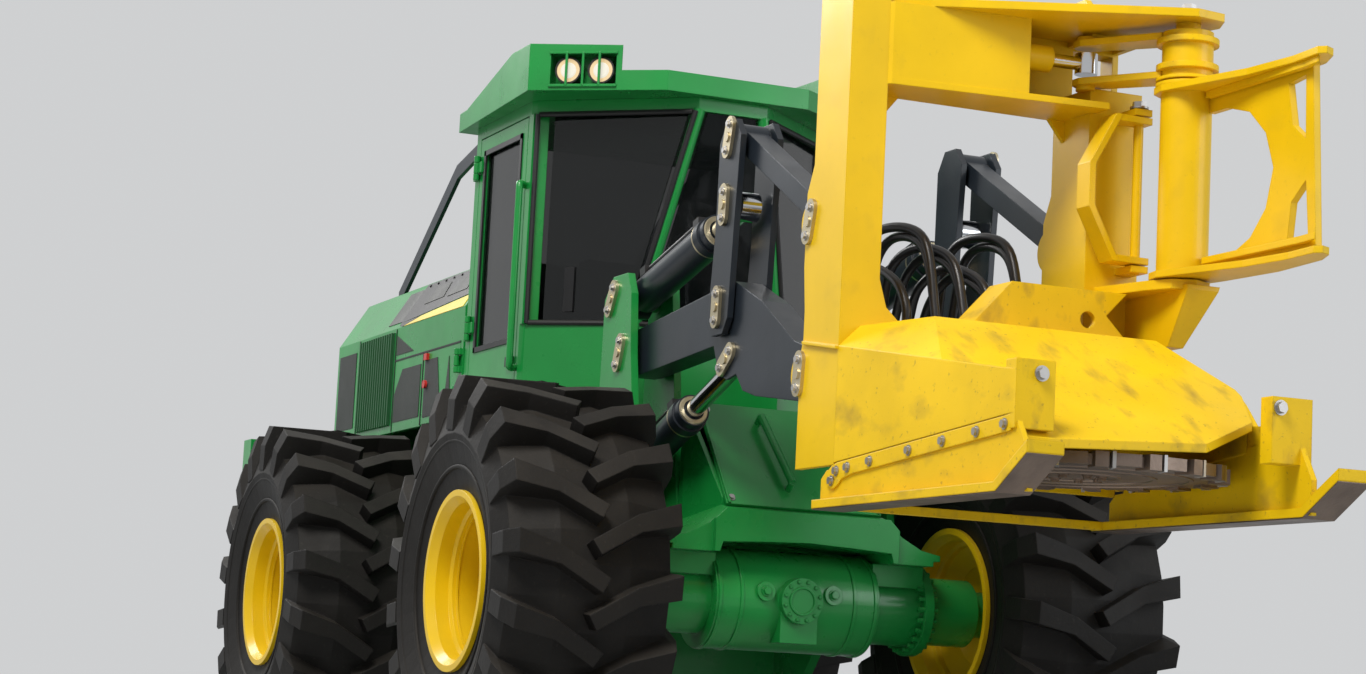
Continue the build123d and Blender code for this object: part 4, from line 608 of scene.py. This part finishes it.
# %% Hood trim
HOOD_HALF = 750
panels = Shape("hood_mesh_panels", "rear", mesh_black)
shoulder = Shape("hood_shoulder", "rear", black)
bands = Shape("hood_bands", "rear", stripe)
seams = Shape("hood_seams", "rear", black)
for sign in (-1, 1):
    out = Vector((0, sign * 0.003, 0))

    def flank(station, height):
        return at(station, sign * HOOD_HALF, height)

    panels.prism([flank(-3080, 1700), flank(-2660, 1700), flank(-2660, 1960), flank(-2960, 1960),
                  flank(-3080, 1840)], out)
    panels.prism([flank(-3080, 2040), flank(-2800, 2040), flank(-3080, 2140)], out)
    panels.prism([flank(-4110, 1720), flank(-3800, 1720), flank(-3800, 2120), flank(-4110, 2120)], out)
    for a, b in (((-3100, 1655), (-3100, 2175)), ((-3745, 1655), (-3745, 2175)), ((-3100, 2013), (-2060, 2013)),
                 ((-2628, 1655), (-2628, 2013))):
        wide = Vector((0.004, 0, 0)) if a[0] == b[0] else Vector((0, 0, 0.004))
        seams.prism([flank(*a) - wide, flank(*b) - wide, flank(*b) + wide, flank(*a) + wide], out)
    tilt = Vector((0, -sign * 0.150, 0.240))
    normal = Vector((0, sign * 0.848, 0.530)) * 0.003

    def slant(station, share):
        return at(station, sign * HOOD_HALF, 2180) + tilt * share

    shoulder.prism([slant(-3080, 0.10), slant(-2040, 0.30), slant(-2040, 0.97), slant(-3080, 0.97)], normal)
    bands.prism([slant(-2990, 0.0), slant(-2060, 0.0), slant(-2060, 0.26), slant(-2760, 0.13)], normal)
    shoulder.prism([slant(-3080, 0.05), slant(-3010, 0.0), slant(-2780, 0.13), slant(-3080, 0.10)], normal)
    panels.prism([slant(-3315, 0.13), slant(-3078, 0.13), slant(-3078, 0.87), slant(-3315, 0.87)], normal)
    for start in (-2860, -2500):
        panels.prism([slant(start, 0.42) + normal, slant(start + 290, 0.45) + normal,
                      slant(start + 250, 0.80) + normal, slant(start + 40, 0.80) + normal], normal)
    for k in range(8):
        seams.bar(slant(-3000 + 125 * k, 0.90), slant(-3000 + 125 * k, 0.90) + normal * 3, 0.007, 8)
panels.make()
shoulder.make()
bands.make()
seams.make()

# %% Panels and latches of the engine doors
for name, sign in (("right", -1), ("left", 1)):
    body = "engine_door_" + name
    grille = Shape("door_mesh_" + name, body, mesh_black)
    out = Vector((0, sign * 0.003, 0))
    corners = ((-2590, 1690), (-2400, 1690), (-2340, 1760), (-2400, 1970), (-2590, 1970))
    grille.prism([at(s, sign * HOOD_HALF, z) for s, z in corners], out)
    grille.prism([at(s, sign * HOOD_HALF, z) for s, z in ((-2270, 1700), (-2170, 1700), (-2220, 1960))], out)
    grille.make()
    latch = Shape("door_latch_" + name, body, red)
    latch.box(at(-2560, sign * 757, 1985), Vector((0.022, 0, 0)), Vector((0, 0.008, 0)), Vector((0, 0, 0.016)))
    latch.bar(at(-2560, sign * HOOD_HALF, 1850), at(-2560, sign * 766, 1850), 0.020, 20)
    latch.make()

# %% [markdown]
# ## Cab
# Dark rubber seals frame each pane. A handrail stands beside the door, lamps sit behind three bars in the roof's
# corners, and inside are consoles, levers, a screen and a footrest. The handrail is one bent tube: a smooth line
# through six points, with a round section swept along it.

# %% Handrail, and seals of the door and screens
rail = Shape("cab_handrail", "rear", green)
rail.tube(arc_path([at(-1265, -750, 2640), at(-1240, -786, 2640), at(-1222, -795, 2560), at(-1222, -795, 1900),
                    at(-1240, -786, 1820), at(-1265, -750, 1820)], 8), 0.016, 12)
rail.make()
seal = Shape("door_seal", "cab_door", black)
for a, b in (((-1850, 1950), (-1850, 2880)), ((-1350, 1950), (-1350, 2880)), ((-1850, 1950), (-1350, 1950)),
             ((-1850, 2880), (-1350, 2880))):
    seal.box(at((a[0] + b[0]) / 2, -752, (a[1] + b[1]) / 2), Vector((abs(b[0] - a[0]) / 2000 + 0.012, 0, 0)),
             Vector((0, 0.004, 0)), Vector((0, 0, abs(b[1] - a[1]) / 2000 + 0.012)))
seal.box(at(-1330, -758, 1850), Vector((0.035, 0, 0)), Vector((0, 0.010, 0)), Vector((0, 0, 0.022)))
seal.make()
seals = Shape("screen_seals", "rear", black)
for sign in (-1, 1):
    seals.bar(at(-870, sign * 372, 2015), at(-698, sign * 182, 2958), 0.012, 8)
    seals.bar(at(-1195, sign * 735, 2012), at(-1195, sign * 735, 2955), 0.012, 8)
    seals.bar(at(-885, sign * 372, 2016), at(-1195, sign * 728, 2016), 0.012, 8)
    seals.bar(at(-710, sign * 190, 2955), at(-1195, sign * 728, 2955), 0.012, 8)
seals.bar(at(-872, -340, 2016), at(-872, 340, 2016), 0.012, 8)
seals.make()

# %% Consoles, levers, screen and footrest
inside = Shape("cab_controls", "rear", black)
for sign in (-1, 1):
    inside.box(at(-1470, sign * 320, 1930), Vector((0.16, 0, 0)), Vector((0, 0.055, 0)), Vector((0, 0, 0.035)))
    inside.bar(at(-1370, sign * 320, 1960), at(-1350, sign * 320, 2090), 0.014, 12)
    inside.bar(at(-1350, sign * 320, 2070), at(-1345, sign * 320, 2130), 0.026, 16, 0.020)
inside.box(at(-1180, -480, 2170), Vector((0.02, 0.015, 0)), Vector((-0.08, 0.10, 0)), Vector((0, 0, 0.10)))
inside.bar(at(-1200, -500, 1700), at(-1180, -480, 2080), 0.018, 10)
inside.box(at(-1150, 0, 1700), Vector((0.12, 0, 0)), Vector((0, 0.30, 0)), Vector((0, 0, 0.02)))
inside.make()

# %% Lamps and their bars, and the mat on the roof
# A lamp box's face is turned 37 degrees outwards: run lies along it, and face points out of it.
LAMP_BOX = (-881, 650, 3115)
LAMP_SHIFT = 0.075
bars = Shape("lamp_bars", "rear", green)
bulbs = Shape("lamp_bulbs", "rear", lamp_bulb)
rings = Shape("lamp_rings", "rear", black)
mat = Shape("roof_mat", "rear", black)
for sign in (-1, 1):
    run = Vector((-0.5975, sign * 0.8018, 0))
    face = Vector((0.8018, sign * 0.5975, 0))
    middle = at(LAMP_BOX[0], sign * LAMP_BOX[1], LAMP_BOX[2])
    for shift in (-LAMP_SHIFT, 0.0, LAMP_SHIFT):
        bars.box(middle + run * shift + face * 0.006, run * 0.005, face * 0.006, Vector((0, 0, 0.074)))
    for height in (0.074, -0.074):
        bars.box(middle + Vector((0, 0, height)) + face * 0.004, run * 0.155, face * 0.006, Vector((0, 0, 0.006)))
    for shift in (-LAMP_SHIFT, LAMP_SHIFT):
        lamp = middle + run * shift - face * 0.025
        bulbs.bar(lamp, lamp + face * 0.003, 0.036, 32, 0.030)
        rings.lathe(lamp, face, [(-62, 53), (5, 53), (5, 60), (-62, 60)], 40)
    bars.box(at(-865, sign * 506, 3152), Vector((0.070, 0, 0)), Vector((0, 0.002, 0)), Vector((0, 0, 0.042)))
mat.box(at(-1500, 0, 3116), Vector((0.30, 0, 0)), Vector((0, 0.32, 0)), Vector((0, 0, 0.006)))
bars.make()
bulbs.make()
rings.make()
mat.make()

# %% [markdown]
# ## Studio
# A pale floor and a pale surround, with one broad soft light above and ahead of the machine, as on a bright overcast
# day, and weaker ones from its other side and from behind, so that the shaded wheel and the cab's inside stay
# readable. The surround is brighter to the camera and to reflections than it is as a light, so that it looks pale
# while the lamps alone set how bright the machine is.

# %% Floor
scene = bpy.context.scene
ground = bpy.data.meshes.new("floor")
ground.from_pydata([(-60, -60, 0), (60, -60, 0), (60, 60, 0), (-60, 60, 0)], [], [(0, 1, 2, 3)])
floor = bpy.data.objects.new("floor", ground)
scene.collection.objects.link(floor)
pale = bpy.data.materials.new("floor")
pale.use_nodes = True
pale.node_tree.nodes["Principled BSDF"].inputs["Base Color"].default_value = (0.56, 0.56, 0.55, 1)
pale.node_tree.nodes["Principled BSDF"].inputs["Roughness"].default_value = 0.9
ground.materials.append(pale)

# %% Sky
world = bpy.data.worlds.new("sky")
scene.world = world
world.use_nodes = True
sky = world.node_tree
back = sky.nodes["Background"]
back.inputs["Color"].default_value = (0.80, 0.86, 0.94, 1)
back.inputs["Strength"].default_value = 0.50
shown = sky.nodes.new("ShaderNodeBackground")
shown.inputs["Color"].default_value = (0.78, 0.79, 0.80, 1)
shown.inputs["Strength"].default_value = 0.80
rays = sky.nodes.new("ShaderNodeLightPath")
seen = rays.outputs["Is Camera Ray"]
for kind in ("Is Glossy Ray", "Is Transmission Ray"):
    either = sky.nodes.new("ShaderNodeMath")
    either.operation = "MAXIMUM"
    sky.links.new(seen, either.inputs[0])
    sky.links.new(rays.outputs[kind], either.inputs[1])
    seen = either.outputs[0]
choose = sky.nodes.new("ShaderNodeMixShader")
sky.links.new(seen, choose.inputs["Fac"])
sky.links.new(back.outputs["Background"], choose.inputs[1])
sky.links.new(shown.outputs["Background"], choose.inputs[2])
sky.links.new(choose.outputs["Shader"], sky.nodes["World Output"].inputs["Surface"])


# %% Lights
def soft_light(name, place, target, width, watts, colour=(1, 1, 1)):
    data = bpy.data.lights.new(name, "AREA")
    data.shape, data.size, data.energy, data.color = "DISK", width, watts, colour
    lamp = bpy.data.objects.new(name, data)
    scene.collection.objects.link(lamp)
    lamp.location = place
    lamp.rotation_euler = (Vector(target) - Vector(place)).to_track_quat("-Z", "Y").to_euler()


soft_light("key", (5.5, -5.0, 9.0), (0.5, 0, 1.5), 4.0, 950, (1.0, 0.97, 0.92))
soft_light("fill", (8.0, 6.0, 4.0), (1.0, 0, 1.5), 5.0, 260, (0.92, 0.96, 1.0))
soft_light("rim", (-7.0, -4.0, 7.0), (-1.0, 0, 2.0), 4.0, 500)

# %% Camera, low and ahead of the machine's right front wheel, tipped up and a little to one side
lens = bpy.data.cameras.new("camera")
lens.lens, lens.sensor_width = 73.9, 36.0
camera = bpy.data.objects.new("camera", lens)
scene.collection.objects.link(camera)
scene.camera = camera
camera.location = (11.089, -4.839, 0.405)
camera.rotation_euler = [math.radians(turn) for turn in (97.32, -2.886, 66.97)]
scene.view_settings.view_transform = "Standard"
print("camera at", [round(v, 2) for v in camera.location])
